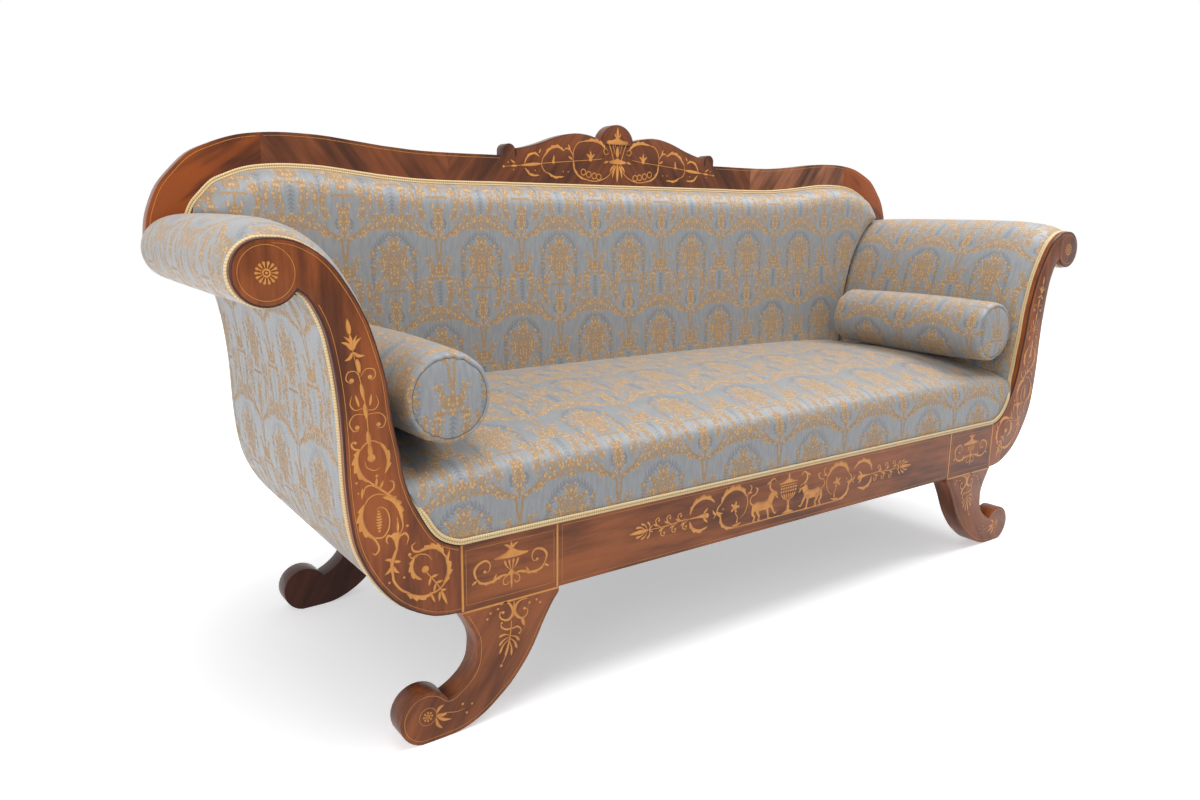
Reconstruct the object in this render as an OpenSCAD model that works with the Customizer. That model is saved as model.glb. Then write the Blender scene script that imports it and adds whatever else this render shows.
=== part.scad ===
// Scroll-arm sofa: marquetry show-wood frame, sprung seat, padded arms and back, two loose bolsters.
// Millimetres. X to the viewer's right, Y to the back, Z up.
// The origin is at the middle of the footprint, on the floor.

/* [Seat frame] */
// Length of the centre front rail between the two die blocks
rail_len = 1142; // [1000:1:1400]
// Length of a die block, over each front leg
die_len = 187; // [175:1:205]
// Height of the seat rails
rail_h = 115; // [105:1:125]
// Thickness of the front rail, front to back
rail_t = 36; // [30:1:40]
// Thickness of the legs and die blocks, front to back
leg_t = 42; // [38:1:48]
// Height from the floor to the underside of the seat rails
leg_h = 210; // [195:1:230]
// Front plane of the show wood to the front plane of the back frame
seat_depth = 614; // [590:1:660]
// Width of a side rail
side_rail_w = 40; // [32:1:45]
// Height of a cross rail
cross_h = 55; // [40:1:65]
// Width of a cross rail
cross_w = 40; // [30:1:50]
// Leg of a triangular corner block
block_leg = 70; // [60:1:80]
// Height of a corner block
block_h = 60; // [50:1:75]
// Radius of a leg dowel
dowel_r = 6; // [5:0.5:8]
// Length of a leg dowel
dowel_len = 60; // [40:1:80]

/* [Legs] */
// Radius of the scroll foot
foot_r = 45; // [41:1:48]
// How far the scroll foot reaches past the die block
foot_reach = 110; // [105:1:115]
// Depth of the flat under each foot
foot_flat = 0.8; // [0.5:0.1:1.5]

/* [Arms] */
// Reach of the arm scroll past the die block
arm_reach = 317; // [305:1:330]
// Rise of the arm scroll above the underside of the rails
arm_rise = 598; // [580:1:620]
// Radius of the roundel at the end of the scroll
roundel_r = 46.5; // [44:0.5:49]
// Thickness of the veneered facing
facing_t = 13; // [10:1:16]
// Thickness of the front post behind the facing
post_t = 26; // [22:1:32]
// Set-back of the posts behind the facing's edge, for the covering
post_inset = 5; // [4.5:0.5:6]
// Height of an arm rail
rail_band = 40; // [30:1:50]
// How far the arm padding stands proud of the facing's edge
arm_pad = 28; // [22:1:30]

/* [Back] */
// Thickness of the back frame
back_t = 34; // [30:1:40]
// Rise of the back's shoulders above the arm scrolls
shoulder_rise = 180; // [160:1:200]
// Width of show wood between the outer edge and the gimp
show_w = 59; // [54:1:64]
// Width of wood hidden under the edge of the padding
lap_w = 20; // [17:1:24]
// Height of the pediment's humps above the shoulders
hump_rise = 38; // [32:1:44]
// Radius of the round finial block
finial_r = 50; // [46:1:52]
// Height of the finial block's seat above the crest rail
finial_seat = 36; // [33:1:40]
// Half width over the ear blocks
ear_out = 321; // [300:1:330]
// Width of an ear block
ear_w = 31; // [26:1:36]
// Height of an ear block
ear_h = 27; // [22:1:32]
// How far the back padding stands out in the middle
back_pad = 46; // [40:1:50]
// Width of a back upright
upright_w = 45; // [35:1:60]
// Height of the lower back rail
lower_rail_h = 50; // [40:1:60]
// Lower back rail's height above the seat rails
lower_rail_up = 105; // [95:1:115]
// Thickness of the hidden back members
inner_t = 25; // [20:1:28]

/* [Seat] */
// Height of the seat crown above the rails
seat_rise = 171; // [160:1:180]
// Thickness of the stuffing's front edge roll
edge_roll = 44; // [40:1:48]
// Height of the stuffing's underside above the rails
stuffing_up = 107; // [100:1:112]
// Thickness of the covering fabric
cloth_t = 1.6; // [1:0.1:2]
// Thickness of a webbing strip
web_t = 1.8; // [1.2:0.1:2]
// Width of a webbing strip
web_w = 50; // [40:1:55]
// Springs in a row along the seat
spring_cols = 6; // [4:2:6]
// Rows of springs from front to back
spring_rows = 3; // [2:1:3]
// Radius of a spring's end coils
spring_r = 42; // [35:1:46]
// Turns in a spring
spring_turns = 4; // [3:1:5]
// Thickness of the spring wire
wire_d = 4; // [3:0.5:5]

/* [Bolsters] */
// Radius of a bolster
bolster_r = 76; // [70:1:80]
// Length of a bolster
bolster_len = 470; // [430:1:490]
// Radius of the rounded edge at a bolster's ends
bolster_edge = 24; // [18:1:28]
// Set-back of a bolster's front end
bolster_in = 15; // [10:1:30]

/* [Trim] */
// Width of the double cord gimp
gimp_w = 9; // [7:1:11]
// Thickness of the gimp
gimp_t = 4; // [3:0.5:5]

/* [Hidden] */

mahogany = "#7b3b1d";
beech = "#c9a878";
cloth = "#8d9aa3";
cord = "#e3d0a0";
jute = "#b08a5a";
horsehair = "#4b4038";
steel = "#9a9a98";
black_cloth = "#2b2a2a";

// Clearances and small sizes
soft_gap = 0.3;
wall_gap = 2.2;
over = 2;
bore_gap = 0.1;
screw_r = 2.5;
screw_len = 38;
screw_head_r = 5;
screw_head_t = 3;
screw_inset = 20;
panel_t = 2.5;
hessian_t = 2;
dust_t = 1;
web_lap = 10;
bolster_dome = 6;
bolster_swell = 3;
ear_r = ear_w / 2;
fine = 64;
steps = 3;

// Main places
half_rail = rail_len / 2;
joint_x = half_rail + die_len;
back_half = joint_x + arm_reach - post_inset;
y_front = -(seat_depth + back_t) / 2;
y_back = y_front + seat_depth;
y_rear = y_back + back_t;
rail_top = leg_h + rail_h;
arm_top = leg_h + arm_rise;
shoulder_z = arm_top + shoulder_rise;
roundel_x = joint_x + arm_reach - roundel_r;
roundel_z = arm_top - roundel_r;
y_post = y_front + facing_t;
y_post_end = y_post + post_t;
y_cover = y_post + gimp_w + soft_gap;

// Curve helpers
function mix(a, b, t) = a + (b - a) * t;
function bend(a, b, c, d, t) = (2 * b + (c - a) * t + (2 * a - 5 * b + 4 * c - d) * t * t
    + (3 * b - a - 3 * c + d) * t * t * t) / 2;
function curve(p, n) = [for (i = [0 : len(p) - 2]) for (k = [0 : n - 1])
    bend(p[max(i - 1, 0)], p[i], p[i + 1], p[min(i + 2, len(p) - 1)], k / n), p[len(p) - 1]];
function arc(c, r, a0, a1, n) = [for (k = [0 : n]) let (a = mix(a0, a1, k / n))
    c + r * [cos(a), sin(a)]];
function left_of(p, i) = let (d = p[min(i + 1, len(p) - 1)] - p[max(i - 1, 0)])
    [-d[1], d[0]] / norm(d);
function shifted(p, d) = [for (i = [0 : len(p) - 1]) p[i] + left_of(p, i) * d];
function reversed(p) = [for (i = [len(p) - 1 : -1 : 0]) p[i]];
function flat_list(g) = [for (row = g) each row];

// Layer of padding or cloth between an outer and an inner grid of points
function slab_faces(m, n) = let (o = m * n) concat(
    [for (i = [0 : m - 2]) for (j = [0 : n - 2]) let (a = i * n + j, b = a + n)
        each [[a, b, b + 1], [a, b + 1, a + 1]]],
    [for (i = [0 : m - 2]) for (j = [0 : n - 2]) let (a = o + i * n + j, b = a + n)
        each [[a, b + 1, b], [a, a + 1, b + 1]]],
    [for (i = [0 : m - 2]) let (a = i * n, b = a + n) each [[a, o + a, o + b], [a, o + b, b]]],
    [for (i = [0 : m - 2]) let (a = i * n + n - 1, b = a + n)
        each [[a, b, o + b], [a, o + b, o + a]]],
    [for (j = [0 : n - 2]) each [[j, j + 1, o + j + 1], [j, o + j + 1, o + j]]],
    [for (j = [0 : n - 2]) let (a = (m - 1) * n + j)
        each [[a + 1, a, o + a], [a + 1, o + a, o + a + 1]]]);
module slab(front, back, turn = false) {
    faces = slab_faces(len(front), len(front[0]));
    polyhedron(points = concat(flat_list(front), flat_list(back)),
        faces = turn ? [for (f = faces) reversed(f)] : faces);
}

// Upright board cut to an outline in X and Z, from y0, t thick
module board(y0, t) translate([0, y0 + t, 0]) rotate([90, 0, 0]) linear_extrude(t) children();
module on_side(side) if (side < 0) mirror([1, 0, 0]) children(); else children();
module block(low, high) translate(low) cube(high - low);

// Arm scroll, on the right side. Shares of the reach and rise, chosen along the edge.
arm_inner_shares = [[0.082, 0.212], [0.136, 0.237], [0.177, 0.271], [0.218, 0.312],
    [0.246, 0.346], [0.281, 0.408], [0.300, 0.480], [0.328, 0.557], [0.347, 0.652],
    [0.385, 0.736], [0.432, 0.811], [0.505, 0.885], [0.596, 0.950], [0.700, 0.987], [0.785, 0.999]];
arm_outer_shares = [[0.694, 0.866], [0.662, 0.839], [0.621, 0.786], [0.593, 0.709],
    [0.574, 0.619], [0.565, 0.522], [0.563, 0.420], [0.549, 0.316], [0.517, 0.226],
    [0.432, 0.134], [0.322, 0.064], [0.189, 0.020], [0.100, 0.005], [0, 0]];
crotch_angle = -148;
function arm_at(s) = [joint_x + s[0] * arm_reach, leg_h + s[1] * arm_rise];
arm_inner = curve(concat([[joint_x, rail_top]], [for (s = arm_inner_shares) arm_at(s)]), steps);
arm_outer = curve([for (s = arm_outer_shares) arm_at(s)], steps);
function scroll_arc(d) = arc([roundel_x, roundel_z], roundel_r + d, 88, crotch_angle, 20);
function scroll(d) = concat(shifted(arm_inner, d), scroll_arc(d), shifted(arm_outer, d));

// Path of the arm's inside covering: up the inner edge, over the roll and under it
pad_first = 4 * steps;
pad_keep = [for (i = [pad_first : len(arm_inner) - 2]) arm_inner[i]];
pad_path = concat(pad_keep, arc([roundel_x, roundel_z], roundel_r, 84, -136, 9));
pad_last = len(pad_path) - 1;
ramp_shares = [[0, 0], [0.10, 0.5], [0.20, 1], [0.78, 1], [0.92, 0.72], [1, 0.3]];
depth_shares = [[0, 0], [0.03, 0.42], [0.09, 0.80], [0.20, 0.94], [0.38, 1], [0.62, 1],
    [0.84, 0.95], [0.95, 0.85], [1, 0.70]];
pad_floor = web_t + cloth_t + 3 * soft_gap - post_inset + gimp_t / 4;
function cover_y(s) = mix(y_cover, y_back, s);
function arm_lift(k, s) = pad_floor + (arm_pad - pad_floor) * lookup(s, depth_shares)
    * lookup(k / pad_last, ramp_shares);
function arm_point(k, s, less) = pad_path[k] + left_of(pad_path, k) * (arm_lift(k, s) - less);
gimp_side = shifted(arm_inner, gimp_t / 2 + wall_gap);
below_pad = [for (i = [0 : pad_first - 1]) [gimp_side[i][1], gimp_side[i][0]]];
function wall_point(k, s) = pad_path[k]
    + left_of(pad_path, k) * (max(gimp_t / 2, arm_lift(k, s)) + wall_gap);
function arm_table(s) = concat(below_pad,
    [for (k = [0 : len(pad_keep) - 1]) let (p = wall_point(k, s)) [p[1], p[0]]]);
function arm_wall(z, y) = lookup(z, arm_table(max(0, (y - y_cover) / (y_back - y_cover))));

// Seat frame
cross_places = [-rail_len / 4, rail_len / 4];
tenon_w = cross_w / 2;
tenon_h = cross_h / 2;
tenon_z = leg_h + cross_h / 4;
module cross_end(x) block([x - tenon_w / 2, y_front + rail_t / 2, tenon_z],
    [x + tenon_w / 2, y_back + back_t / 2, tenon_z + tenon_h]);
module front_rail() color(mahogany) difference() {
    block([-half_rail, y_front, leg_h], [half_rail, y_front + rail_t, rail_top]);
    for (x = cross_places) cross_end(x);
}
module back_seat_rail() color(beech) difference() {
    block([-joint_x, y_back, leg_h], [joint_x, y_rear, rail_top]);
    for (side = [-1, 1]) on_side(side) {
        dowel_pair(y_rear - leg_t / 2, dowel_r + bore_gap, dowel_len + 2 * bore_gap);
        corner_frame(1) screw_along_y(bore_gap);
    }
    for (x = cross_places) cross_end(x);
}
module die_block(side) color(mahogany) on_side(side) difference() {
    block([half_rail, y_front, leg_h], [joint_x, y_front + leg_t, rail_top]);
    dowel_pair(y_front + leg_t / 2, dowel_r + bore_gap, dowel_len + 2 * bore_gap);
    corner_frame(0) screw_along_y(bore_gap);
}
module side_rail(side) color(beech) on_side(side) difference() {
    block([joint_x - side_rail_w, y_front + leg_t, leg_h], [joint_x, y_back, rail_top]);
    for (back = [0, 1]) corner_frame(back) screw_along_x(bore_gap);
}
module cross_rails() color(beech) for (x = cross_places) {
    block([x - cross_w / 2, y_front + rail_t, leg_h], [x + cross_w / 2, y_back, leg_h + cross_h]);
    cross_end(x);
}

// Corner blocks, each with one screw into the side rail and one into the front or back
module corner_frame(back) translate([joint_x - side_rail_w, back == 1 ? y_back : y_front + leg_t,
    leg_h + (rail_h - block_h) / 2]) mirror([0, back, 0]) children();
module screw(gap, head_gap) {
    cylinder(h = screw_len + gap, r = screw_r + gap, $fn = fine);
    translate([0, 0, -screw_head_t - head_gap])
        cylinder(h = screw_head_t + head_gap, r = screw_head_r + head_gap / 8, $fn = fine);
}
module screw_along_x(gap) translate([-screw_inset, block_leg / 3, block_h / 4]) rotate([0, 90, 0])
    screw(gap, gap == 0 ? 0 : 2 * block_leg);
module screw_along_y(gap) translate([-block_leg / 3, screw_inset, block_h * 3 / 4]) rotate([90, 0, 0])
    screw(gap, gap == 0 ? 0 : 2 * block_leg);
module corner_blocks() color(beech) for (side = [-1, 1]) on_side(side) for (back = [0, 1])
    corner_frame(back) difference() {
        linear_extrude(block_h) polygon([[0, 0], [-block_leg, 0], [0, block_leg]]);
        corner_bore([-screw_inset, block_leg / 3, block_h / 4], [0, 90, 0]);
        corner_bore([-block_leg / 3, screw_inset, block_h * 3 / 4], [90, 0, 0]);
    }
module corner_bore(at, turn) translate(at) rotate(turn) {
    cylinder(h = screw_len, r = screw_r + bore_gap, $fn = fine);
    translate([0, 0, -block_leg]) cylinder(h = block_leg, r = screw_head_r + bore_gap, $fn = fine);
}
module corner_screws() color(steel) for (side = [-1, 1]) on_side(side) for (back = [0, 1])
    corner_frame(back) {
        screw_along_x(0);
        screw_along_y(0);
    }

// Legs: an outward scroll with a rounded foot
leg_concave_shares = [[1, 1], [0.930, 0.89], [0.877, 0.805], [0.845, 0.714], [0.845, 0.633],
    [0.861, 0.533], [0.920, 0.443], [1.005, 0.376], [1.075, 0.338], [1.134, 0.314]];
leg_convex_shares = [[1.205, 0], [1.037, 0.0095], [0.893, 0.048], [0.754, 0.110], [0.631, 0.190],
    [0.513, 0.276], [0.412, 0.376], [0.321, 0.481], [0.241, 0.600], [0.176, 0.714],
    [0.112, 0.814], [0.050, 0.900], [0, 0.955], [0, 1]];
foot_crotch_angle = 152;
foot_x = joint_x + foot_reach - foot_r;
function leg_at(s) = [half_rail + s[0] * die_len, s[1] * leg_h];
leg_outline = concat(curve([for (s = leg_concave_shares) leg_at(s)], steps),
    arc([foot_x, foot_r - foot_flat], foot_r, foot_crotch_angle, -80, 20),
    curve([for (s = leg_convex_shares) leg_at(s)], steps));
module leg(side, y0) color(mahogany) on_side(side) difference() {
    board(y0, leg_t) polygon(leg_outline);
    block([half_rail - over, y0 - over, -foot_r], [foot_x + 2 * foot_r, y0 + leg_t + over, 0]);
    dowel_pair(y0 + leg_t / 2, dowel_r + bore_gap, dowel_len + 2 * bore_gap);
}
dowel_shares = [0.25, 0.72];
module dowel_pair(y, r, h) for (s = dowel_shares)
    translate([half_rail + s * die_len, y, leg_h - h / 2]) cylinder(h = h, r = r, $fn = fine);
module leg_dowels() color(beech) for (side = [-1, 1]) on_side(side)
    for (y = [y_front + leg_t / 2, y_rear - leg_t / 2]) dowel_pair(y, dowel_r, dowel_len);

// Arm woodwork
module arm_facing(side) color(mahogany) on_side(side) board(y_front, facing_t) polygon(scroll(0));
module inside_joint() intersection() {
    children();
    block([joint_x, y_front - over, 0], [joint_x + 2 * arm_reach, y_rear + over, 2 * arm_top]);
}
module arm_front_post(side) color(beech) on_side(side) inside_joint()
    board(y_post, post_t) polygon(scroll(-post_inset));
rail_places = [leg_h + post_inset, rail_top + 2 * rail_band, roundel_z - roundel_r - rail_band];
module arm_rails(side) color(beech) on_side(side) for (z = rail_places) intersection() {
    board(y_post_end, y_back - y_post_end) polygon(scroll(-post_inset));
    block([joint_x, y_front, z], [roundel_x - roundel_r, y_rear, z + rail_band]);
}
module arm_roll_bar(side) color(beech) on_side(side)
    translate([roundel_x, y_back, roundel_z]) rotate([90, 0, 0])
        cylinder(h = y_back - y_post_end, r = roundel_r - post_inset, $fn = fine);
arm_web_shares = [0.16, 0.38, 0.60, 0.82];
function arm_web(d) = let (p = shifted(arm_inner, d)) [for (i = [0 : len(p) - 2])
    if (arm_inner[i][1] > rail_places[1]) p[i]];
module arm_webbing(side) color(jute) on_side(side) for (s = arm_web_shares)
    board(cover_y(s) - web_w / 2, web_w) polygon(concat(arm_web(soft_gap - post_inset),
        reversed(arm_web(soft_gap + web_t - post_inset))));

// Arm stuffing, inside cover, outside cover and gimp
function arm_grid(less) = [for (k = [0 : pad_last]) [for (d = depth_shares)
    let (p = arm_point(k, d[0], less)) [p[0], cover_y(d[0]), p[1]]]];
function arm_bed() = [for (k = [0 : pad_last]) [for (d = depth_shares)
    let (p = pad_path[k] + left_of(pad_path, k) * (web_t + 2 * soft_gap - post_inset))
        [p[0], cover_y(d[0]), p[1]]]];
module arm_cover(side) color(cloth) on_side(side) slab(arm_grid(0), arm_grid(cloth_t), true);
module arm_stuffing(side) color(horsehair) on_side(side)
    slab(arm_grid(cloth_t + soft_gap), arm_bed(), true);
outside_shares = [[0, 0.3], [0.05, 0.8], [0.3, 1], [0.7, 1], [1, 0.8]];
outside_path = concat([for (i = [1 : len(arm_outer) - 2]) arm_outer[i]],
    [[joint_x + gimp_t / 4, leg_h]]);
function outside_grid(lift) = [for (i = [0 : len(outside_path) - 1]) [for (s = outside_shares)
    let (p = outside_path[i] + left_of(outside_path, i) * (lift * s[1] + soft_gap - post_inset))
        [p[0], mix(y_cover, y_rear, s[0]), p[1]]]];
module arm_outside(side) color(cloth) on_side(side)
    slab(outside_grid(post_inset + cloth_t), outside_grid(0), true);
module arm_gimp(side) color(cord) on_side(side) inside_joint() difference() {
    board(y_post, gimp_w) polygon(concat(scroll(-post_inset), reversed(scroll(gimp_t / 2))));
    block([joint_x - over, y_front, leg_h + gimp_w], [joint_x + 4 * gimp_w, y_rear, rail_top + gimp_w]);
}

// Back frame, on the right side: outer edge from the roll up and over to the middle
back_outer_shares = [[1, 0], [1, 0.10], [0.996, 0.262], [0.987, 0.40], [0.973, 0.54],
    [0.950, 0.672], [0.922, 0.80], [0.891, 0.876], [0.851, 0.947], [0.814, 0.982], [0.769, 1],
    [0.723, 1], [0.672, 0.987], [0.572, 0.934], [0.488, 0.907], [0.399, 0.903], [0.34, 0.905],
    [0.30, 0.905], [0, 0.905]];
function back_at(s) = [s[0] * back_half, mix(roundel_z, shoulder_z, s[1])];
back_outer = curve([for (s = back_outer_shares) back_at(s)], steps);
crest_top = back_outer[len(back_outer) - 1][1];
crest_half = back_half * 0.8;
crest_inner = shifted(back_outer, show_w + lap_w);
module back_band() board(y_back, back_t) polygon(concat(back_outer, reversed(crest_inner)));
module crest_rail() color(mahogany) intersection() {
    union() for (side = [-1, 1]) on_side(side) back_band();
    block([-crest_half, y_back - over, 0], [crest_half, y_rear + over, 2 * shoulder_z]);
}
module rear_post(side) color(mahogany) on_side(side) inside_joint() {
    board(y_back, back_t) polygon(scroll(-post_inset));
    difference() {
        back_band();
        block([0, y_back - over, 0], [crest_half, y_rear + over, 2 * shoulder_z]);
    }
}

// Space inside the back frame, for the pieces that fill it
inside_low = [for (p = shifted(arm_inner, -post_inset)) if (p[0] > joint_x) p];
module back_space(y0, t) difference() {
    union() for (side = [-1, 1]) on_side(side) {
        board(y0, t) polygon(concat([[0, rail_top], [joint_x, rail_top]], inside_low, [[0, arm_top]]));
        board(y0, t) polygon(concat(crest_inner, [[0, roundel_z]]));
    }
    for (side = [-1, 1]) on_side(side) {
        board(y0 - over, t + 2 * over) polygon(scroll(-post_inset));
        board(y0 - over, t + 2 * over) polygon(concat(back_outer, reversed(crest_inner)));
    }
}
lower_rail_z = rail_top + lower_rail_up;
uprights_z = lower_rail_z + lower_rail_h;
module back_lower_rail() color(beech) intersection() {
    back_space(y_back, inner_t);
    block([-back_half, y_back - over, lower_rail_z], [back_half, y_rear, uprights_z]);
}
upright_shares = [-0.26, 0.26];
module back_uprights() color(beech) intersection() {
    back_space(y_back, inner_t);
    union() for (s = upright_shares) block([s * back_half - upright_w / 2, y_back - over, uprights_z],
        [s * back_half + upright_w / 2, y_rear, shoulder_z]);
}
module back_outside() color(black_cloth) back_space(y_rear - panel_t, panel_t);

// Pediment with its humps, the round finial block and the two ear blocks
hump_shares = [[1, 0.29], [0.90, 0.37], [0.76, 0.56], [0.62, 0.80], [0.50, 0.95], [0.40, 1],
    [0.30, 0.965], [0.22, 0.88]];
pediment_half = ear_out - ear_w;
finial_z = crest_top + finial_seat;
hump_h = shoulder_z + hump_rise - crest_top;
hump = [for (p = curve([for (s = hump_shares)
    [s[0] * pediment_half, crest_top + s[1] * hump_h]], steps)) if (p[0] > finial_r) p];
hump_foot_z = hump[len(hump) - 1][1] - hump_h / 16;
module on_crest() difference() {
    children();
    for (side = [-1, 1]) on_side(side) back_band();
}
module pediment() color(mahogany) on_crest() union() for (side = [-1, 1]) on_side(side)
    board(y_back, back_t) polygon(concat([[0, crest_top - over], [pediment_half, crest_top - over]],
        hump, [[finial_r, hump_foot_z], [finial_r, finial_z], [0, finial_z]]));
module finial_block() color(mahogany) intersection() {
    translate([0, y_rear, finial_z]) rotate([90, 0, 0]) cylinder(h = back_t, r = finial_r, $fn = fine);
    block([-2 * finial_r, y_back - over, finial_z], [2 * finial_r, y_rear + over, 2 * shoulder_z]);
}
module ear_blocks() color(mahogany) on_crest() for (side = [-1, 1]) on_side(side) {
    block([pediment_half, y_back, crest_top - over], [ear_out, y_rear, crest_top + ear_h - ear_r]);
    translate([ear_out - ear_r, y_rear, crest_top + ear_h - ear_r]) rotate([90, 0, 0])
        cylinder(h = back_t, r = ear_r, $fn = fine);
}

// Back padding: from the lower rail up to the gimp, between the arms and over their rolls
roll_top_z = arm_top + arm_pad;
side_path = [for (k = [0 : 2 : len(pad_keep) + 1]) let (p = arm_point(k, 0.9, -3 * soft_gap))
    if (p[0] < back_half - show_w - 2 * gimp_w) p];
pad_edge = [for (p = shifted(back_outer, show_w + gimp_w + gimp_t / 2))
    if (p[1] > roll_top_z + gimp_w) p];
pad_rows = len(side_path) + 1;
function side_at(i) = i < len(side_path) ? side_path[i] : pad_edge[0];
edge_last = len(pad_edge) - 1;
half_cols = [for (i = [edge_last : -3 : 3]) (edge_last - i) / edge_last];
back_cols = concat([-1], [for (i = [len(half_cols) - 1 : -1 : 1]) -half_cols[i]], half_cols, [1]);
function edge_at(c) = let (w = (1 - abs(c)) * edge_last, i = min(floor(w), edge_last - 1),
    p = mix(pad_edge[i], pad_edge[i + 1], w - i)) [sign(c) * p[0], p[1]];
row_proud_shares = [[0, 1.1], [0.1, 1.18], [0.3, 1.12], [0.6, 1], [0.78, 0.92], [0.90, 0.74],
    [0.96, 0.46], [1, 0.1]];
col_proud_shares = [[0, 1], [0.82, 1], [0.91, 0.9], [0.97, 0.55], [1, 0.1]];
col_blend_shares = [[0, 0], [0.70, 0.12], [0.86, 1], [1, 1]];
function back_proud(r, c) = back_pad * lookup(r, row_proud_shares)
    * mix(1, lookup(abs(c), col_proud_shares), lookup(r, col_blend_shares));
function back_spot(i, c) = let (r = i / (pad_rows - 1), low = side_at(0),
    mid = mix([c * low[0], low[1]], edge_at(c), r),
    pull = (side_at(i) - mix(low, pad_edge[0], r)) * pow(abs(c), 3))
        [mid[0] + sign(c) * pull[0], mid[1] + pull[1]];
pad_back = y_back - web_t - soft_gap;
function back_grid(less) = [for (i = [0 : pad_rows - 1]) [for (c = back_cols)
    let (p = back_spot(i, c)) [p[0], pad_back - cloth_t - 2 * soft_gap
        - back_proud(i / (pad_rows - 1), c) + less, p[1]]]];
function back_bed() = [for (i = [0 : pad_rows - 1]) [for (c = back_cols)
    let (p = back_spot(i, c)) [p[0], pad_back, p[1]]]];
module back_cover() color(cloth) slab(back_grid(0), back_grid(cloth_t));
module back_stuffing() color(horsehair) slab(back_grid(cloth_t + soft_gap), back_bed());
back_web_shares = [-0.72, -0.54, -0.36, -0.18, 0, 0.18, 0.36, 0.54, 0.72];
web_edge = shifted(back_outer, show_w + lap_w - web_lap);
module back_webbing() color(jute) for (s = back_web_shares) intersection() {
    block([s * back_half - web_w / 2, y_back - web_t, lower_rail_z],
        [s * back_half + web_w / 2, y_back, shoulder_z]);
    union() for (side = [-1, 1]) on_side(side) board(y_back - web_t, web_t)
        polygon(concat(web_edge, [[0, leg_h], [back_half, leg_h]]));
}
gimp_line = [for (p = back_outer) if (p[1] > roll_top_z + gimp_w) p];
module back_gimp() color(cord) for (side = [-1, 1]) on_side(side) board(y_back - gimp_t, gimp_t)
    polygon(concat(shifted(gimp_line, show_w), reversed(shifted(gimp_line, show_w + gimp_w))));

// Seat: webbing under the rails, springs, hessian, stuffing with an edge roll, and the cover
web_long_shares = [0.14, 0.32, 0.5, 0.68, 0.86];
web_cross_count = 9;
module seat_webbing() color(jute) {
    for (s = web_long_shares) let (y = mix(y_front, y_rear, s))
        block([-joint_x + web_lap, y - web_w / 2, leg_h - web_t],
            [joint_x - web_lap, y + web_w / 2, leg_h]);
    for (i = [0 : web_cross_count - 1])
        let (x = mix(-half_rail, half_rail, (i + 0.5) / web_cross_count))
        block([x - web_w / 2, y_front + web_lap, leg_h - 2 * web_t],
            [x + web_w / 2, y_rear - web_lap, leg_h - web_t]);
}
module dust_cover() color(black_cloth)
    block([-joint_x + web_lap, y_front + leg_t + web_lap, leg_h - 2 * web_t - dust_t],
        [joint_x - web_lap, y_rear - leg_t - web_lap, leg_h - 2 * web_t]);
stuffing_z = rail_top + stuffing_up;
hessian_z = stuffing_z - soft_gap - hessian_t;
spring_h = hessian_z - leg_h;
spring_sides = 3;
rings_per_turn = 8;
spring_rings = spring_turns * rings_per_turn;
function spring_path(t) = let (a = 360 * spring_turns * t,
    r = (spring_r - wire_d / 2) * (1 - 0.28 * sin(180 * t)))
        [r * cos(a), r * sin(a), mix(wire_d / 2, spring_h - wire_d / 2, t)];
function wire_ring(t) = let (c = spring_path(t), a = 360 * spring_turns * t)
    [for (j = [0 : spring_sides - 1]) let (b = 360 * j / spring_sides)
        c + wire_d / 2 * [cos(a) * cos(b), sin(a) * cos(b), sin(b)]];
echo(least_gap_between_coils = min([for (i = [0 : spring_rings]) for (j = [i + rings_per_turn / 2 : 1
    : spring_rings]) norm(spring_path(i / spring_rings) - spring_path(j / spring_rings))]) - wire_d);
module spring() {
    n = spring_sides;
    polyhedron(points = [for (i = [0 : spring_rings]) each wire_ring(i / spring_rings)],
        faces = concat([[for (j = [n - 1 : -1 : 0]) j]],
            [for (i = [0 : spring_rings - 1]) for (j = [0 : n - 1]) let (a = i * n, k = (j + 1) % n)
                each [[a + j, a + k, a + n + k], [a + j, a + n + k, a + n + j]]],
            [[for (j = [0 : n - 1]) spring_rings * n + j]]));
}
spring_area_x = joint_x - side_rail_w;
module seat_springs() color(steel) for (i = [0 : spring_cols - 1]) for (j = [0 : spring_rows - 1])
    translate([mix(-spring_area_x, spring_area_x, (i + 0.5) / spring_cols),
        mix(y_front + rail_t, y_back, (j + 0.5) / spring_rows), leg_h]) spring();

seat_front = y_front + gimp_t + soft_gap;
seat_back = y_back - back_pad * 1.18 - web_t - cloth_t - 4 * soft_gap;
// Rows from the gimp to the back: share of the depth, of the crown, of the layer's drop, of the bed
seat_row_shares = [[0, 0, 0, 0], [0, 0.05, 0, 0.1], [0, 0.15, 0, 0.3], [0, 0.31, 0, 0.6],
    [0, 0.50, 0, 0.85], [0.006, 0.62, 0.5, 1], [0.02, 0.70, 0.8, 1], [0.055, 0.765, 1, 1],
    [0.11, 0.815, 1, 1], [0.22, 0.885, 1, 1], [0.38, 0.965, 1, 1], [0.58, 1, 1, 1],
    [0.80, 0.985, 1, 1], [1, 0.945, 1, 1]];
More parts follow.
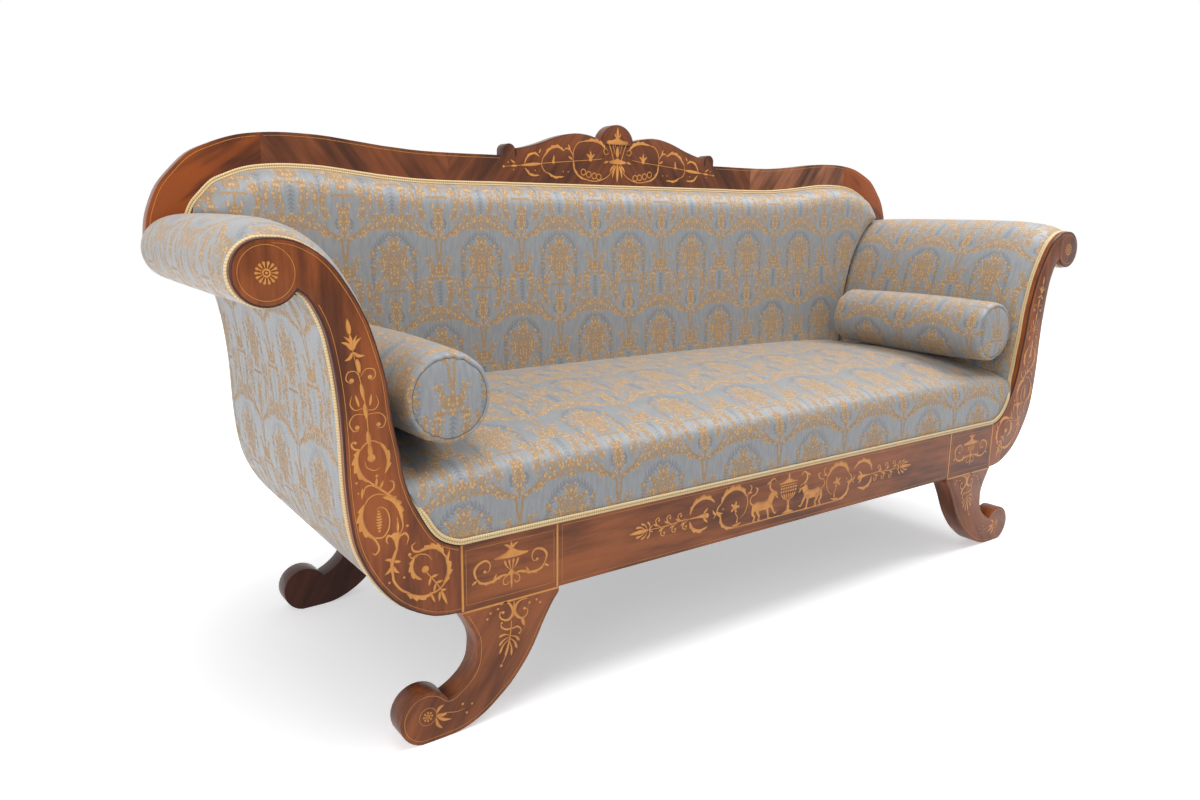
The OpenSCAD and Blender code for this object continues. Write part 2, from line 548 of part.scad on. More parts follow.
// Columns from the middle to an end: share of the half length and of the crown
seat_col_shares = [[0, 1], [0.25, 0.998], [0.5, 0.99], [0.7, 0.975], [0.82, 0.95], [0.91, 0.915],
    [0.97, 0.875], [1, 0.84]];
seat_places = concat([for (i = [len(seat_col_shares) - 1 : -1 : 1]) -seat_col_shares[i][0]],
    [for (s = seat_col_shares) s[0]]);
function seat_height(h, c) = rail_top + seat_rise * h * lookup(abs(c), seat_col_shares);
function seat_grid(less) = [for (s = seat_row_shares)
    let (y = mix(seat_front, seat_back, s[0]) + less * (1 - s[2]), drop = less * s[2])
        [for (c = seat_places) [c * arm_wall(seat_height(s[1], 1) - drop, y), y,
            seat_height(s[1], c) - drop]]];
function seat_bed() = [for (s = seat_row_shares) let (y = mix(seat_front + edge_roll, seat_back, s[0]),
    z = mix(rail_top, stuffing_z, s[3])) [for (c = seat_places) [c * (arm_wall(z, y) - cloth_t), y, z]]];
module seat_cover() color(cloth) slab(seat_grid(0), seat_grid(cloth_t));
module seat_stuffing() color(horsehair) slab(seat_grid(cloth_t + soft_gap), seat_bed());
module seat_hessian() color(jute) block([-spring_area_x, seat_front + edge_roll + 2 * over, hessian_z],
    [spring_area_x, seat_back - over, hessian_z + hessian_t]);
gimp_rise = [for (p = arm_inner) if (p[1] < rail_top + seat_rise * 0.7) p];
module seat_gimp() color(cord) {
    block([-joint_x, y_front, rail_top], [joint_x, y_front + gimp_t, rail_top + gimp_w]);
    for (side = [-1, 1]) on_side(side) board(y_front, gimp_t)
        polygon(concat(gimp_rise, reversed(shifted(gimp_rise, gimp_w))));
}

// Bolsters: turned shape with a swell in the middle and domed ends
bolster_zone = [for (s = seat_row_shares) if (s[0] > 0.02 && s[0] < 0.9) s];
bolster_shares = [0.76, 0.82, 0.88, 0.92];
bolster_guess_z = seat_height(1, 0.88) + bolster_r;
bolster_x = min([for (a = [-40 : 20 : 80]) arm_wall(bolster_guess_z + bolster_r * sin(a), 0)
    - bolster_r * cos(a)]) - 2 * soft_gap;
bolster_z = max([for (s = bolster_zone) for (c = bolster_shares)
    let (x = c * arm_wall(seat_height(s[1], 1), 0), d = min(abs(x - bolster_x), bolster_r))
        seat_height(s[1], c) + sqrt(bolster_r * bolster_r - d * d)]) + soft_gap * 2;
bolster_y = y_front + bolster_in + bolster_len / 2;
function bolster_profile(less) = let (h = bolster_len / 2 - less, r = bolster_r - less,
    e = bolster_edge - less, re = r - bolster_swell, n = 8)
    concat([[0, -h], [(re - e) / 2, -h + bolster_dome / 4]],
        [for (k = [0 : n]) let (a = 90 * k / n)
            [re - e + e * sin(a), -h + bolster_dome + e - e * cos(a)]],
        [for (k = [1 : n - 1]) let (t = k / n) [re + bolster_swell * sin(180 * t),
            mix(-h + bolster_dome + e, h - bolster_dome - e, t)]],
        [for (k = [n : -1 : 0]) let (a = 90 * k / n)
            [re - e + e * sin(a), h - bolster_dome - e + e * cos(a)]],
        [[(re - e) / 2, h - bolster_dome / 4], [0, h]]);
module bolster_solid(less) rotate([-90, 0, 0]) rotate_extrude($fn = fine) polygon(bolster_profile(less));
module bolster_place(side) on_side(side) translate([bolster_x, bolster_y, bolster_z]) children();
module bolster_core(side) color(horsehair) bolster_place(side) bolster_solid(cloth_t + soft_gap);
module bolster_cover(side) color(cloth) bolster_place(side) difference() {
    bolster_solid(0);
    bolster_solid(cloth_t);
}

front_rail();
die_block(-1);  // die_block_left
die_block(1);  // die_block_right
side_rail(-1);  // side_rail_left
side_rail(1);  // side_rail_right
back_seat_rail();
cross_rails();
corner_blocks();
corner_screws();
leg_dowels();
leg(-1, y_front);  // front_leg_left
leg(1, y_front);  // front_leg_right
leg(-1, y_rear - leg_t);  // rear_leg_left
leg(1, y_rear - leg_t);  // rear_leg_right
arm_facing(-1);  // arm_facing_left
arm_facing(1);  // arm_facing_right
arm_front_post(-1);  // arm_front_post_left
arm_front_post(1);  // arm_front_post_right
arm_rails(-1);  // arm_rails_left
arm_rails(1);  // arm_rails_right
arm_roll_bar(-1);  // arm_roll_bar_left
arm_roll_bar(1);  // arm_roll_bar_right
arm_webbing(-1);  // arm_webbing_left
arm_webbing(1);  // arm_webbing_right
arm_stuffing(-1);  // arm_stuffing_left
arm_stuffing(1);  // arm_stuffing_right
arm_cover(-1);  // arm_cover_left
arm_cover(1);  // arm_cover_right
arm_outside(-1);  // arm_outside_left
arm_outside(1);  // arm_outside_right
arm_gimp(-1);  // arm_gimp_left
arm_gimp(1);  // arm_gimp_right
rear_post(-1);  // rear_post_left
rear_post(1);  // rear_post_right
crest_rail();
pediment();
finial_block();
ear_blocks();
back_lower_rail();
back_uprights();
back_webbing();
back_stuffing();
back_cover();
back_gimp();
back_outside();
seat_webbing();
seat_springs();
seat_hessian();
seat_stuffing();
seat_cover();
seat_gimp();
dust_cover();
bolster_core(-1);  // bolster_core_left
bolster_core(1);  // bolster_core_right
bolster_cover(-1);  // bolster_cover_left
bolster_cover(1);  // bolster_cover_right
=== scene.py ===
# %% [markdown]
# # A scroll-arm sofa with marquetry
# The sofa has a mahogany frame with light inlay, a sprung seat, padded arms and back in a
# figured cloth, and two loose bolsters. Every piece is built around the solids of the frame,
# so first the frame is loaded.

# %% Load the frame
import math
import bmesh
import bpy
import numpy as np
from mathutils import Matrix, Vector
from mathutils.geometry import delaunay_2d_cdt


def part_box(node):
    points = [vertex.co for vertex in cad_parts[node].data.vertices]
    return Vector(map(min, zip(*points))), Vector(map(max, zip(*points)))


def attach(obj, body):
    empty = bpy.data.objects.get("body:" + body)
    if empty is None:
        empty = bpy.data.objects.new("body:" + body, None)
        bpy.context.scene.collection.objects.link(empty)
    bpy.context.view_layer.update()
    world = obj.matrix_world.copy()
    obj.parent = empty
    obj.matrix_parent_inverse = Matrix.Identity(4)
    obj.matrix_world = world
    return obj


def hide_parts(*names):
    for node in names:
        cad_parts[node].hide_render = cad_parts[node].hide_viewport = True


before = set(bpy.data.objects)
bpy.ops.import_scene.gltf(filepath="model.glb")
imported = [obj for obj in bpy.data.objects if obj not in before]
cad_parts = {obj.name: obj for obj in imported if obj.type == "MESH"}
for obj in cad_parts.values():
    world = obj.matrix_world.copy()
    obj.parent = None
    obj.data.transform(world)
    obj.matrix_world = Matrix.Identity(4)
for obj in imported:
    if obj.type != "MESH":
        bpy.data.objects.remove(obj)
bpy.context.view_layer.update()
millimetre = 0.001

# %% [markdown]
# ## The camera
# The camera stands to the left of the sofa, a little above the arms, and looks down at it.
# A turn, a tilt and a very small roll give the same picture as an aim point would, and they
# are easier to measure one at a time.

# %% Camera
photo_width = 1200
focal_pixels = 888.7
camera_place = Vector((-1.3586, -1.5284, 0.8467))
camera_turn = math.radians(35.87)
camera_tilt = math.radians(12.03)
camera_roll = 0.0127


def aim(turn, tilt, roll):
    """Rotation of a camera turned from +Y towards +X, tilted down and rolled."""
    ahead = Vector((math.sin(turn) * math.cos(tilt), math.cos(turn) * math.cos(tilt), -math.sin(tilt)))
    right = ahead.cross(Vector((0, 0, 1))).normalized()
    up = right.cross(ahead)
    right, up = (right * math.cos(roll) + up * math.sin(roll),
                 up * math.cos(roll) - right * math.sin(roll))
    return Matrix((right, up, -ahead)).transposed()


camera_data = bpy.data.cameras.new("camera")
camera_data.sensor_width = 36
camera_data.lens = focal_pixels / photo_width * camera_data.sensor_width
camera = bpy.data.objects.new("camera", camera_data)
bpy.context.scene.collection.objects.link(camera)
camera.matrix_world = Matrix.Translation(camera_place) @ aim(camera_turn, camera_tilt, camera_roll).to_4x4()
bpy.context.scene.camera = camera
print("lens in millimetres:", round(camera_data.lens, 2))

# %% [markdown]
# ## Numbers as nodes
# Cloth figures and wood grain are worked out point by point. Math nodes can be placed by
# hand, but a long formula is hard to read that way. Here a small class stands for a value in
# a node tree, so that a formula is written as a formula and each sign adds its node.

# %% Values that are nodes
class Value:
    """A number or vector that changes over the surface."""

    def __init__(self, tree, socket):
        self.tree = tree
        self.socket = socket

    def node(self, kind, inputs, output=0, **settings):
        made = self.tree.nodes.new(kind)
        for name, setting in settings.items():
            setattr(made, name, setting)
        for place, given in enumerate(inputs):
            if given is not None:
                connected(given, made.inputs[place])
        return Value(self.tree, made.outputs[output])

    def math(self, operation, *others, clamp=False):
        return self.node("ShaderNodeMath", (self, *others), operation=operation, use_clamp=clamp)

    def vector(self, operation, *others, output=0):
        return self.node("ShaderNodeVectorMath", (self, *others), output, operation=operation)

    def feeds(self, socket):
        self.tree.links.new(self.socket, socket)

    def __add__(self, other):
        return self.math("ADD", other)

    def __sub__(self, other):
        return self.math("SUBTRACT", other)

    def __mul__(self, other):
        return self.math("MULTIPLY", other)

    def __rsub__(self, other):
        return self.node("ShaderNodeMath", (other, self), operation="SUBTRACT")

    __radd__ = __add__
    __rmul__ = __mul__

    def lowest(self, other):
        return self.math("MINIMUM", other)

    def highest(self, other):
        return self.math("MAXIMUM", other)

    def absolute(self):
        return self.math("ABSOLUTE")

    def sine(self):
        return self.math("SINE")

    def wrap(self, low, high):
        return self.math("WRAP", high, low)

    def length(self):
        return self.vector("LENGTH", output=1)

    def stretched(self, x, y, z=1):
        return self.vector("MULTIPLY", (x, y, z))

    def moved(self, x, y):
        return self.vector("ADD", (x, y, 0))

    def split(self):
        parts = self.tree.nodes.new("ShaderNodeSeparateXYZ")
        self.feeds(parts.inputs[0])
        return [Value(self.tree, socket) for socket in parts.outputs]

    def joined(self, y, z=0):
        return self.node("ShaderNodeCombineXYZ", (self, y, z))

    def step(self, low, high):
        """A smooth rise from 0 to 1 while the value goes from low to high."""
        return self.node("ShaderNodeMapRange", (self, low, high), interpolation_type="SMOOTHSTEP")

    def noise(self, scale, detail, rough=0.5, output=0):
        return self.node("ShaderNodeTexNoise", (self, None, scale, detail, rough), output)

    def mixed(self, first, second):
        """The first colour where the value is 0, and the second where it is 1."""
        made = self.tree.nodes.new("ShaderNodeMix")
        made.data_type = "RGBA"
        for place, given in ((0, self), (6, first), (7, second)):
            connected(given, made.inputs[place])
        return Value(self.tree, made.outputs[2])


def connected(given, socket):
    """Gives a socket either a value that changes or a plain setting."""
    if isinstance(given, Value):
        given.feeds(socket)
    else:
        socket.default_value = given


def colour(red, green, blue):
    return (red, green, blue, 1.0)

# %% [markdown]
# ## Node groups
# Several finishes share an effect: wood grain is on mahogany, beech and inlay, and a weave is
# on every cloth. Each effect could be copied into each material, but a node group is built
# once and takes its own values in each one.

# %% Building a group
def group(name, inputs, outputs, build):
    """A shader node group; build is given the inputs as values and returns the outputs."""
    tree = bpy.data.node_groups.new(name, "ShaderNodeTree")
    for label, (kind, default) in inputs.items():
        socket = tree.interface.new_socket(label, in_out="INPUT", socket_type=kind)
        if default is not None:
            socket.default_value = default
    for label, kind in outputs.items():
        tree.interface.new_socket(label, in_out="OUTPUT", socket_type=kind)
    entry = tree.nodes.new("NodeGroupInput")
    leave = tree.nodes.new("NodeGroupOutput")
    results = build(*[Value(tree, entry.outputs[label]) for label in inputs])
    for label, result in zip(outputs, results):
        result.feeds(leave.inputs[label])
    return tree

# %% Wood figure
NUMBER = "NodeSocketFloat"
POINTS = "NodeSocketVector"
TINT = "NodeSocketColor"


def wood_figure(place, angle, length, wave, light, dark):
    """Long grain with a slow flame across it and short dark pores."""
    turned = place.node("ShaderNodeVectorRotate", (place, (0, 0, 0), (0, 1, 0), angle),
                        rotation_type="AXIS_ANGLE")
    flame = turned.stretched(3.2, 3.2, 11.0).noise(1.0, 3.0, 0.6).step(0.32, 0.66) * wave
    fibres = turned.vector("MULTIPLY", turned.node("ShaderNodeCombineXYZ", (length, 60.0, 60.0)))
    streaks = fibres.noise(1.0, 6.0, 0.62)
    pores = turned.stretched(90, 900, 900).noise(1.0, 2.0, 0.6).step(0.60, 0.72)
    strength = (streaks * 0.75 + flame * 0.4).step(0.22, 0.88)
    tone = strength.mixed(dark, light)
    relief = streaks * 0.4 - pores * 0.6
    return (pores * 0.35).mixed(tone, dark), relief


wood_group = group("wood figure",
                   {"Place": (POINTS, None), "Angle": (NUMBER, 0.0), "Length": (NUMBER, 6.0),
                    "Wave": (NUMBER, 0.5), "Light": (TINT, colour(0.5, 0.2, 0.1)),
                    "Dark": (TINT, colour(0.1, 0.03, 0.02))},
                   {"Colour": TINT, "Relief": NUMBER}, wood_figure)
print("nodes in the wood figure:", len(wood_group.nodes))

# %% Materials from a shader
def material(name, **settings):
    """A new material, its node tree, and its main shader with plain settings."""
    made = bpy.data.materials.new(name)
    made.use_nodes = True
    shader = made.node_tree.nodes["Principled BSDF"]
    for label, setting in settings.items():
        shader.inputs[label.replace("_", " ").title().replace("Ior", "IOR")].default_value = setting
    return made, made.node_tree, shader


def use_group(tree, which, **given):
    """Places a group in a material and returns its outputs by name."""
    placed = tree.nodes.new("ShaderNodeGroup")
    placed.node_tree = which
    for label, setting in given.items():
        connected(setting, placed.inputs[label])
    return {socket.name: Value(tree, socket) for socket in placed.outputs}


def surface_place(tree):
    """The point on the surface, in metres, the same at every pose."""
    return Value(tree, tree.nodes.new("ShaderNodeTexCoord").outputs["Object"])


def flat_place(tree):
    """The place on a flat piece of cloth, cord or slip, from its UV map."""
    return Value(tree, tree.nodes.new("ShaderNodeTexCoord").outputs["UV"])


def bump(height, distance, shader):
    relief = height.tree.nodes.new("ShaderNodeBump")
    relief.inputs["Distance"].default_value = distance
    height.feeds(relief.inputs["Height"])
    height.tree.links.new(relief.outputs["Normal"], shader.inputs["Normal"])

# %% [markdown]
# ## Woods
# The show wood is mahogany veneer under French polish: red brown, with a flame across the
# grain, and deep gloss. The veneer on the back frame is cut on the slant, so its grain angle
# differs from piece to piece. The hidden frame is plain beech without polish. A picture of
# wood would repeat, so the grain is noise drawn out along the fibres, new on every board.

# %% Mahogany, beech and inlay
def wood_finish(name, angle, light, dark, wave=0.9, rough=0.36, coat=0.1, turn=None, painted_reflection_tint=None):
    """Wood; beyond a turn its grain leans the other way, and its right leaf is lighter, a painted
    reflection.
    """
    made, tree, shader = material(name, roughness=rough, coat_weight=coat, coat_roughness=0.15,
                                  specular_ior_level=0.2)
    place = surface_place(tree)
    slant = math.radians(angle)
    if turn:
        side, deep, high = place.split()
        slant = side.absolute().math("LESS_THAN", turn) * (-2 * slant) + slant
        # Right of the turn the light colour is lighter: a painted reflection.
        light = side.math("GREATER_THAN", turn).mixed(light, painted_reflection_tint)
        place = side.absolute().joined(deep, high)
    out = use_group(tree, wood_group, Place=place, Angle=slant, Wave=wave, Light=light, Dark=dark)
    out["Colour"].feeds(shader.inputs["Base Color"])
    bump(out["Relief"], 0.1 * millimetre, shader)
    return made


mahogany_light = colour(0.335, 0.100, 0.030)
mahogany_dark = colour(0.078, 0.020, 0.0075)
mahogany = {angle: wood_finish(f"mahogany_{angle % 180}", angle, mahogany_light, mahogany_dark)
            for angle in (0, 55, -55)}
facing_wood = wood_finish("mahogany_facing", 90, colour(0.35, 0.092, 0.022), colour(0.075, 0.018, 0.005))
# The crest and its blocks: right of the turn the wood is lighter, a painted reflection.
crest_wood_and_painted_reflection = wood_finish("mahogany_crest_and_painted_reflection", 52, colour(0.25, 0.072, 0.024), colour(0.050, 0.015, 0.006),
                         wave=0.6, turn=0.46, painted_reflection_tint=colour(0.42, 0.155, 0.075))
post_woods = {side: wood_finish(f"mahogany_post_{side}", slant, colour(0.27, 0.060, 0.009),
                                colour(0.035, 0.009, 0.0035), wave=1.6)
              for side, slant in (("left", 35), ("right", -35))}
# The bevels take this near-black colour: painted shade on the rounded edges.
edge_painted_shade = wood_finish("mahogany_edge_painted_shade", 0, colour(0.07, 0.018, 0.007), colour(0.03, 0.008, 0.004))
# The rear legs stand in the shadow under the seat; this near-black colour is painted shade.
rear_legs_painted_shade = wood_finish("mahogany_rear_painted_shade", 60, colour(0.085, 0.022, 0.010), colour(0.03, 0.008, 0.005))
beech = wood_finish("beech", 0, colour(0.62, 0.42, 0.24), colour(0.42, 0.26, 0.13),
                    wave=0.2, rough=0.6, coat=0.0)


def inlay_finish():
    """Maple slips, shaded brown along one side as if dipped in hot sand."""
    made, tree, shader = material("inlay", roughness=0.4, coat_weight=0.12, coat_roughness=0.2,
                                  specular_ior_level=0.3)
    out = use_group(tree, wood_group, Place=surface_place(tree), Angle=math.radians(70), Length=14.0,
                    Wave=0.4, Light=colour(0.84, 0.38, 0.09), Dark=colour(0.60, 0.24, 0.05))
    along, across, _ = flat_place(tree).split()
    scorched = across.step(0.62, 1.0) * 0.6 + along.step(0.22, 0.0) * 0.35
    shown = scorched.mixed(out["Colour"], colour(0.30, 0.10, 0.025))
    shown.feeds(shader.inputs["Base Color"])
    bump(out["Relief"], 0.05 * millimetre, shader)
    return made


inlay = inlay_finish()
print("woods:", sorted(one.name for one in bpy.data.materials if one.name.startswith("mahogany")))

# %% [markdown]
# ## The figured cloth
# The cloth has a blue-grey satin ground with gold figures woven into it. Its figures stand in
# upright columns: a swag, a bouquet, a spear and a cup of leaves, and then the swag again.
# The next column is half a repeat lower. Painting all of it would need a picture, so the
# repeat is folded until one narrow strip is left, and each figure is drawn once in it with
# distances to circles, ovals and short strokes.

# %% Repeat of the cloth
repeat_width = 205.0
repeat_height = 388.0
quarter = repeat_width / 4
print("repeat of the cloth in millimetres:", repeat_width, "by", repeat_height)


def oval(point, x, y, wide, high):
    """Distance to an oval, below zero inside it."""
    return (point.moved(-x, -y).stretched(1 / wide, 1 / high, 0).length() - 1) * min(wide, high)


def stroke(point, start, end, width, taper=0.0):
    """Distance to a stroke between two points, thinner or thicker towards its end."""
    run = (end[0] - start[0], end[1] - start[1], 0)
    size = run[0] ** 2 + run[1] ** 2
    away = point.moved(-start[0], -start[1])
    share = away.vector("DOT_PRODUCT", run, output=1).math("DIVIDE", size, clamp=True)
    nearest = share.joined(share).stretched(run[0], run[1], 0)
    return away.vector("SUBTRACT", nearest).length() - width + share * taper


def hoop_of(point, x, y, radius, width):
    """Distance to a ring."""
    return (point.moved(-x, -y).length() - radius).absolute() - width


def any_of(first, *others):
    for other in others:
        first = first.lowest(other)
    return first


def petals(place, size):
    """Small petals that fill a figure: 0 in the middle of each, and more towards its rim."""
    made = place.tree.nodes.new("ShaderNodeTexVoronoi")
    made.inputs["Scale"].default_value = 1 / (size * millimetre)
    place.tree.links.new(place.socket, made.inputs["Vector"])
    return Value(place.tree, made.outputs["Distance"])


def leafy_stem(away, along, half, pitch):
    """Small slanted leaves on both sides of a stem, below zero inside them."""
    slant = (along + away.absolute() * 0.8) * (math.tau / pitch)
    return away.absolute() - half - slant.sine() * half * 0.9

# %% Figures of the cloth
def cloth_figures(place):
    """Masks of the gold figures and of the darker leaves, from a place in metres."""
    across, up, _ = place.stretched(1 / millimetre, 1 / millimetre, 0).split()
    folded = (across.wrap(-repeat_width / 2, repeat_width / 2)).absolute()
    beyond = folded.math("GREATER_THAN", quarter)
    near = folded + beyond * (2 * quarter - 2 * folded)
    rise = (up + beyond * (repeat_height / 2)).wrap(-repeat_height - 20, -20.0)
    repeat = near.joined(rise)
    wobble = repeat.noise(0.11, 1.0, output=1).moved(-0.5, -0.5).stretched(6.0, 6.0, 0)
    lower = repeat.vector("ADD", wobble)
    upper = lower.moved(0, repeat_height)
    swag = any_of(stroke(upper, (0, -6), (28, -3), 15, 2), stroke(upper, (28, -3), (48, 11), 13, 7))
    lyre = any_of(stroke(upper, (28, 42), (19, 10), 10, 5), stroke(upper, (28, 42), (22, 74), 10, 5))
    curl = any_of(stroke(upper, (42, 24), (50, 46), 4, -3), stroke(upper, (50, 46), (43, 70), 7, 3))
    garland = any_of(stroke(upper, (38, -12), (56, -18), 7), stroke(upper, (56, 184), (33, 169), 11, 4))
    spikes = any_of(stroke(upper, (0, 90), (0, 124), 9, 5), stroke(upper, (11, 94), (24, 114), 8, 4))
    flowers = [stroke(lower, root, tip, 9, 6)
               for root, tip in (((4, -66), (6, -38)), ((14, -70), (31, -52)), ((20, -88), (43, -86)),
                                 ((14, -104), (30, -118)))]
    bouquet = any_of(oval(lower, 0, -84, 30, 34), oval(lower, 0, -122, 14, 24), *flowers)
    spear = oval(lower, 0, -188, 11, 31)
    twig = any_of(stroke(lower, (36, -134), (45, -160), 9, 1), stroke(lower, (45, -160), (36, -190), 8, 3))
    leafy = any_of(swag, lyre, curl, garland, spikes, bouquet, spear, twig)
    cup = any_of(oval(upper, 0, 87, 20, 8), stroke(upper, (2, 73), (24, 73), 2.0),
                 stroke(upper, (0, 73), (0, 84), 4.0, -2))
    ties = any_of(stroke(upper, (33, 169), (8, 156), 4), stroke(upper, (7, 157), (3, 122), 2.2), cup)
    ring = any_of(hoop_of(lower, 49, -66, 6.0, 2.6), oval(lower, 49, -66, 2.2, 2.2))
    bud = any_of(stroke(lower, (30, -82), (44, -72), 1.4), oval(lower, 45, -101, 5.5, 5.5))
    shaft = any_of(stroke(lower, (0, -146), (22, -145), 2.4), stroke(lower, (0, -150), (0, -232), 1.8),
                   stroke(lower, (6, -176), (17, -160), 3, 2))
    ends = any_of(ring, bud, shaft)
    petal = petals(repeat.moved(17, 9).stretched(millimetre, 0.72 * millimetre, 0), 5.6)
    fine = repeat.noise(0.3, 2.0, 0.6)
    leaf_edge = leafy.highest(-3.4) + (petal - 0.52) * 17 + (fine - 0.5) * 13
    gold = leaf_edge.lowest(any_of(ties, ends) + (fine - 0.5) * 5)
    gold_mask = gold.step(0.9, -0.9)
    side, above, _ = lower.moved(0, 88).split()
    bow = above.highest(0.0) * (1 / 58)
    arch_away = ((side * (1 / 47)).joined(bow).length() - 1) * 47
    arch_along = (side * (1 / 47)).math("ARCTAN2", bow) * 52 - above.lowest(0.0)
    arch = leafy_stem(arch_away, arch_along, 4.2, 8.0).highest(-142 - rise)
    palm_end = (rise + (repeat_height - 40)).absolute() - 27
    palm = leafy_stem(near, rise + repeat_height, 3.6, 8.0).highest(palm_end)
    spray = oval(lower, 14, -200, 5, 10)
    dark_mask = any_of(arch, palm, spray).step(0.9, -0.9)
    return gold_mask, dark_mask, petal


cloth_group = group("cloth figures", {"Place": (POINTS, None)},
                    {"Gold": NUMBER, "Leaves": NUMBER, "Petal": NUMBER}, cloth_figures)
print("nodes in the cloth figures:", len(cloth_group.nodes))

# %% [markdown]
# ## Weave, cords and plain cloths
# Every cloth shows its threads close up. Threads could be modelled one by one, but there are
# far too many. One group makes their height from two crossed waves, and the figured cloth, the
# black lining and the jute webbing use it, each with its own number of threads in a metre.

# %% Weave
def crossed_threads(place, count):
    """Height of crossed threads, count per metre, and a mottle between them."""
    across, up, _ = place.split()
    first = (across * count * math.tau).sine()
    second = (up * count * math.tau).sine()
    mottle = place.noise(420.0, 2.0)
    return first * second * 0.5 + 0.5, mottle


weave_group = group("crossed threads", {"Place": (POINTS, None), "Count": (NUMBER, 1200.0)},
                    {"Height": NUMBER, "Mottle": NUMBER}, crossed_threads)
print("nodes in the crossed threads:", len(weave_group.nodes))

# %% Cloths
def figured_cloth():
    made, tree, shader = material("figured_cloth", roughness=0.5, sheen_weight=0.25, sheen_roughness=0.4)
    place = flat_place(tree)
    figures = use_group(tree, cloth_group, Place=place)
    threads = use_group(tree, weave_group, Place=place, Count=900.0)
    shades = place.stretched(1, 0.2, 0).noise(160.0, 3.0).step(0.3, 0.7)
    ground = shades.mixed(colour(0.265, 0.277, 0.289), colour(0.315, 0.325, 0.335))
    leaves = (figures["Leaves"] * 0.62).mixed(ground, colour(0.16, 0.175, 0.195))
    rim = figures["Petal"].step(0.55, 0.15) * 0.65 + threads["Mottle"].step(0.35, 0.65) * 0.35
    gold = rim.mixed(colour(0.32, 0.20, 0.10), colour(0.64, 0.425, 0.225))
    figures["Gold"].mixed(leaves, gold).feeds(shader.inputs["Base Color"])
    (figures["Gold"] * 0.3 + 0.36).feeds(shader.inputs["Roughness"])
    bump(threads["Height"], 0.12 * millimetre, shader)
    return made


def plain_cloth(name, light, dark, count):
    made, tree, shader = material(name, roughness=0.85, sheen_weight=0.15)
    threads = use_group(tree, weave_group, Place=surface_place(tree), Count=count)
    threads["Mottle"].step(0.3, 0.7).mixed(dark, light).feeds(shader.inputs["Base Color"])
    bump(threads["Height"], 0.3 * millimetre, shader)
    return made


lampas = figured_cloth()
lining = plain_cloth("black_lining", colour(0.035, 0.035, 0.04), colour(0.015, 0.015, 0.018), 700.0)
jute = plain_cloth("jute", colour(0.52, 0.38, 0.21), colour(0.30, 0.20, 0.10), 300.0)
print("cloths:", lampas.name, lining.name, jute.name)

# %% [markdown]
# The gimp is a pair of cream cords with a golden braid in the groove between them. A picture of
# a cord would blur close up, so a wave on the cord's own coordinates, along and around it, makes
# the twist, and a wave along the braid makes its stitches. The sewing thread of the bolsters is
# thin and dark, and its fibres run like the grain of wood, so it borrows that finish.

# %% Cord, thread and steel
def striped(name, dark, light, pitch, turns, depth, rough, sheen):
    """A cord with slanted stripes along it, pitch metres apart and turning round it."""
    made, tree, shader = material(name, roughness=rough, sheen_weight=sheen)
    along, around, _ = flat_place(tree).split()
    twist = (along * (math.tau / pitch) + around * (turns * math.tau)).sine() * 0.5 + 0.5
    twist.mixed(dark, light).feeds(shader.inputs["Base Color"])
    bump(twist, depth, shader)
    return made


def steel_finish():
    made, tree, shader = material("steel", metallic=1.0, roughness=0.4)
    rust = surface_place(tree).noise(60.0, 4.0).step(0.5, 0.7)
    rust.mixed(colour(0.42, 0.42, 0.43), colour(0.22, 0.16, 0.12)).feeds(shader.inputs["Base Color"])
    bump(rust, 0.1 * millimetre, shader)
    return made


gimp_cord = striped("gimp_cord", colour(0.60, 0.43, 0.20), colour(0.80, 0.62, 0.35),
                    pitch=4.5 * millimetre, turns=1, depth=0.25 * millimetre, rough=0.6, sheen=0.3)
gimp_groove = striped("gimp_groove", colour(0.30, 0.17, 0.05), colour(0.55, 0.35, 0.12),
                      pitch=3.0 * millimetre, turns=0, depth=0.4 * millimetre, rough=0.55, sheen=0.2)
thread = wood_finish("dark_thread", 0, colour(0.05, 0.045, 0.04), colour(0.02, 0.018, 0.016),
                     rough=0.8, coat=0.0)
steel = steel_finish()
print("cords:", gimp_cord.name, gimp_groove.name, thread.name)

# %% [markdown]
# ## Outlines from the frame
# The inlay, the cords and the pads all follow edges of the wood. Those edges are read from
# the solids, so that nothing has to be fitted by eye: the front face of a board is found, and
# its border is walked round once.

# %% Reading an outline
def clean_copy(node):
    """The solid's mesh with its corners joined and its flat faces whole."""
    shape = bmesh.new()
    shape.from_mesh(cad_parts[node].data)
    bmesh.ops.remove_doubles(shape, verts=shape.verts, dist=1e-5)
    bmesh.ops.dissolve_limit(shape, angle_limit=math.radians(1), verts=shape.verts, edges=shape.edges)
    return shape


def outline(node, rear=False):
    """Corners (x, z) round the front or rear face of a board, against the clock."""
    shape = clean_copy(node)
    depths = [v.co.y for v in shape.verts]
    plane = max(depths) if rear else min(depths)
    faces = {f for f in shape.faces if all(abs(v.co.y - plane) < 1e-5 for v in f.verts)}
    ahead = {loop.vert: loop.link_loop_next.vert for face in faces for loop in face.loops
             if loop.link_loop_radial_next.face not in faces}
    borders = []
    while ahead:
        first = next(iter(ahead))
        border, step = [first], ahead.pop(first)
        while step is not first:
            border.append(step)
            step = ahead.pop(step)
        corners = np.array([(v.co.x, v.co.z) for v in border])
        borders.append(corners[::-1] if rear else corners)
    shape.free()
    return max(borders, key=lambda corners: np.ptp(corners, axis=0).sum())

# %% Lines along an outline
def between(border, start, end):
    """The part of an outline from the corner nearest one point to the corner nearest another."""
    first, last = [int(np.argmin(np.linalg.norm(border - point, axis=1))) for point in (start, end)]
    turned = np.roll(border, -first, axis=0)
    return turned[:(last - first) % len(border) + 1]


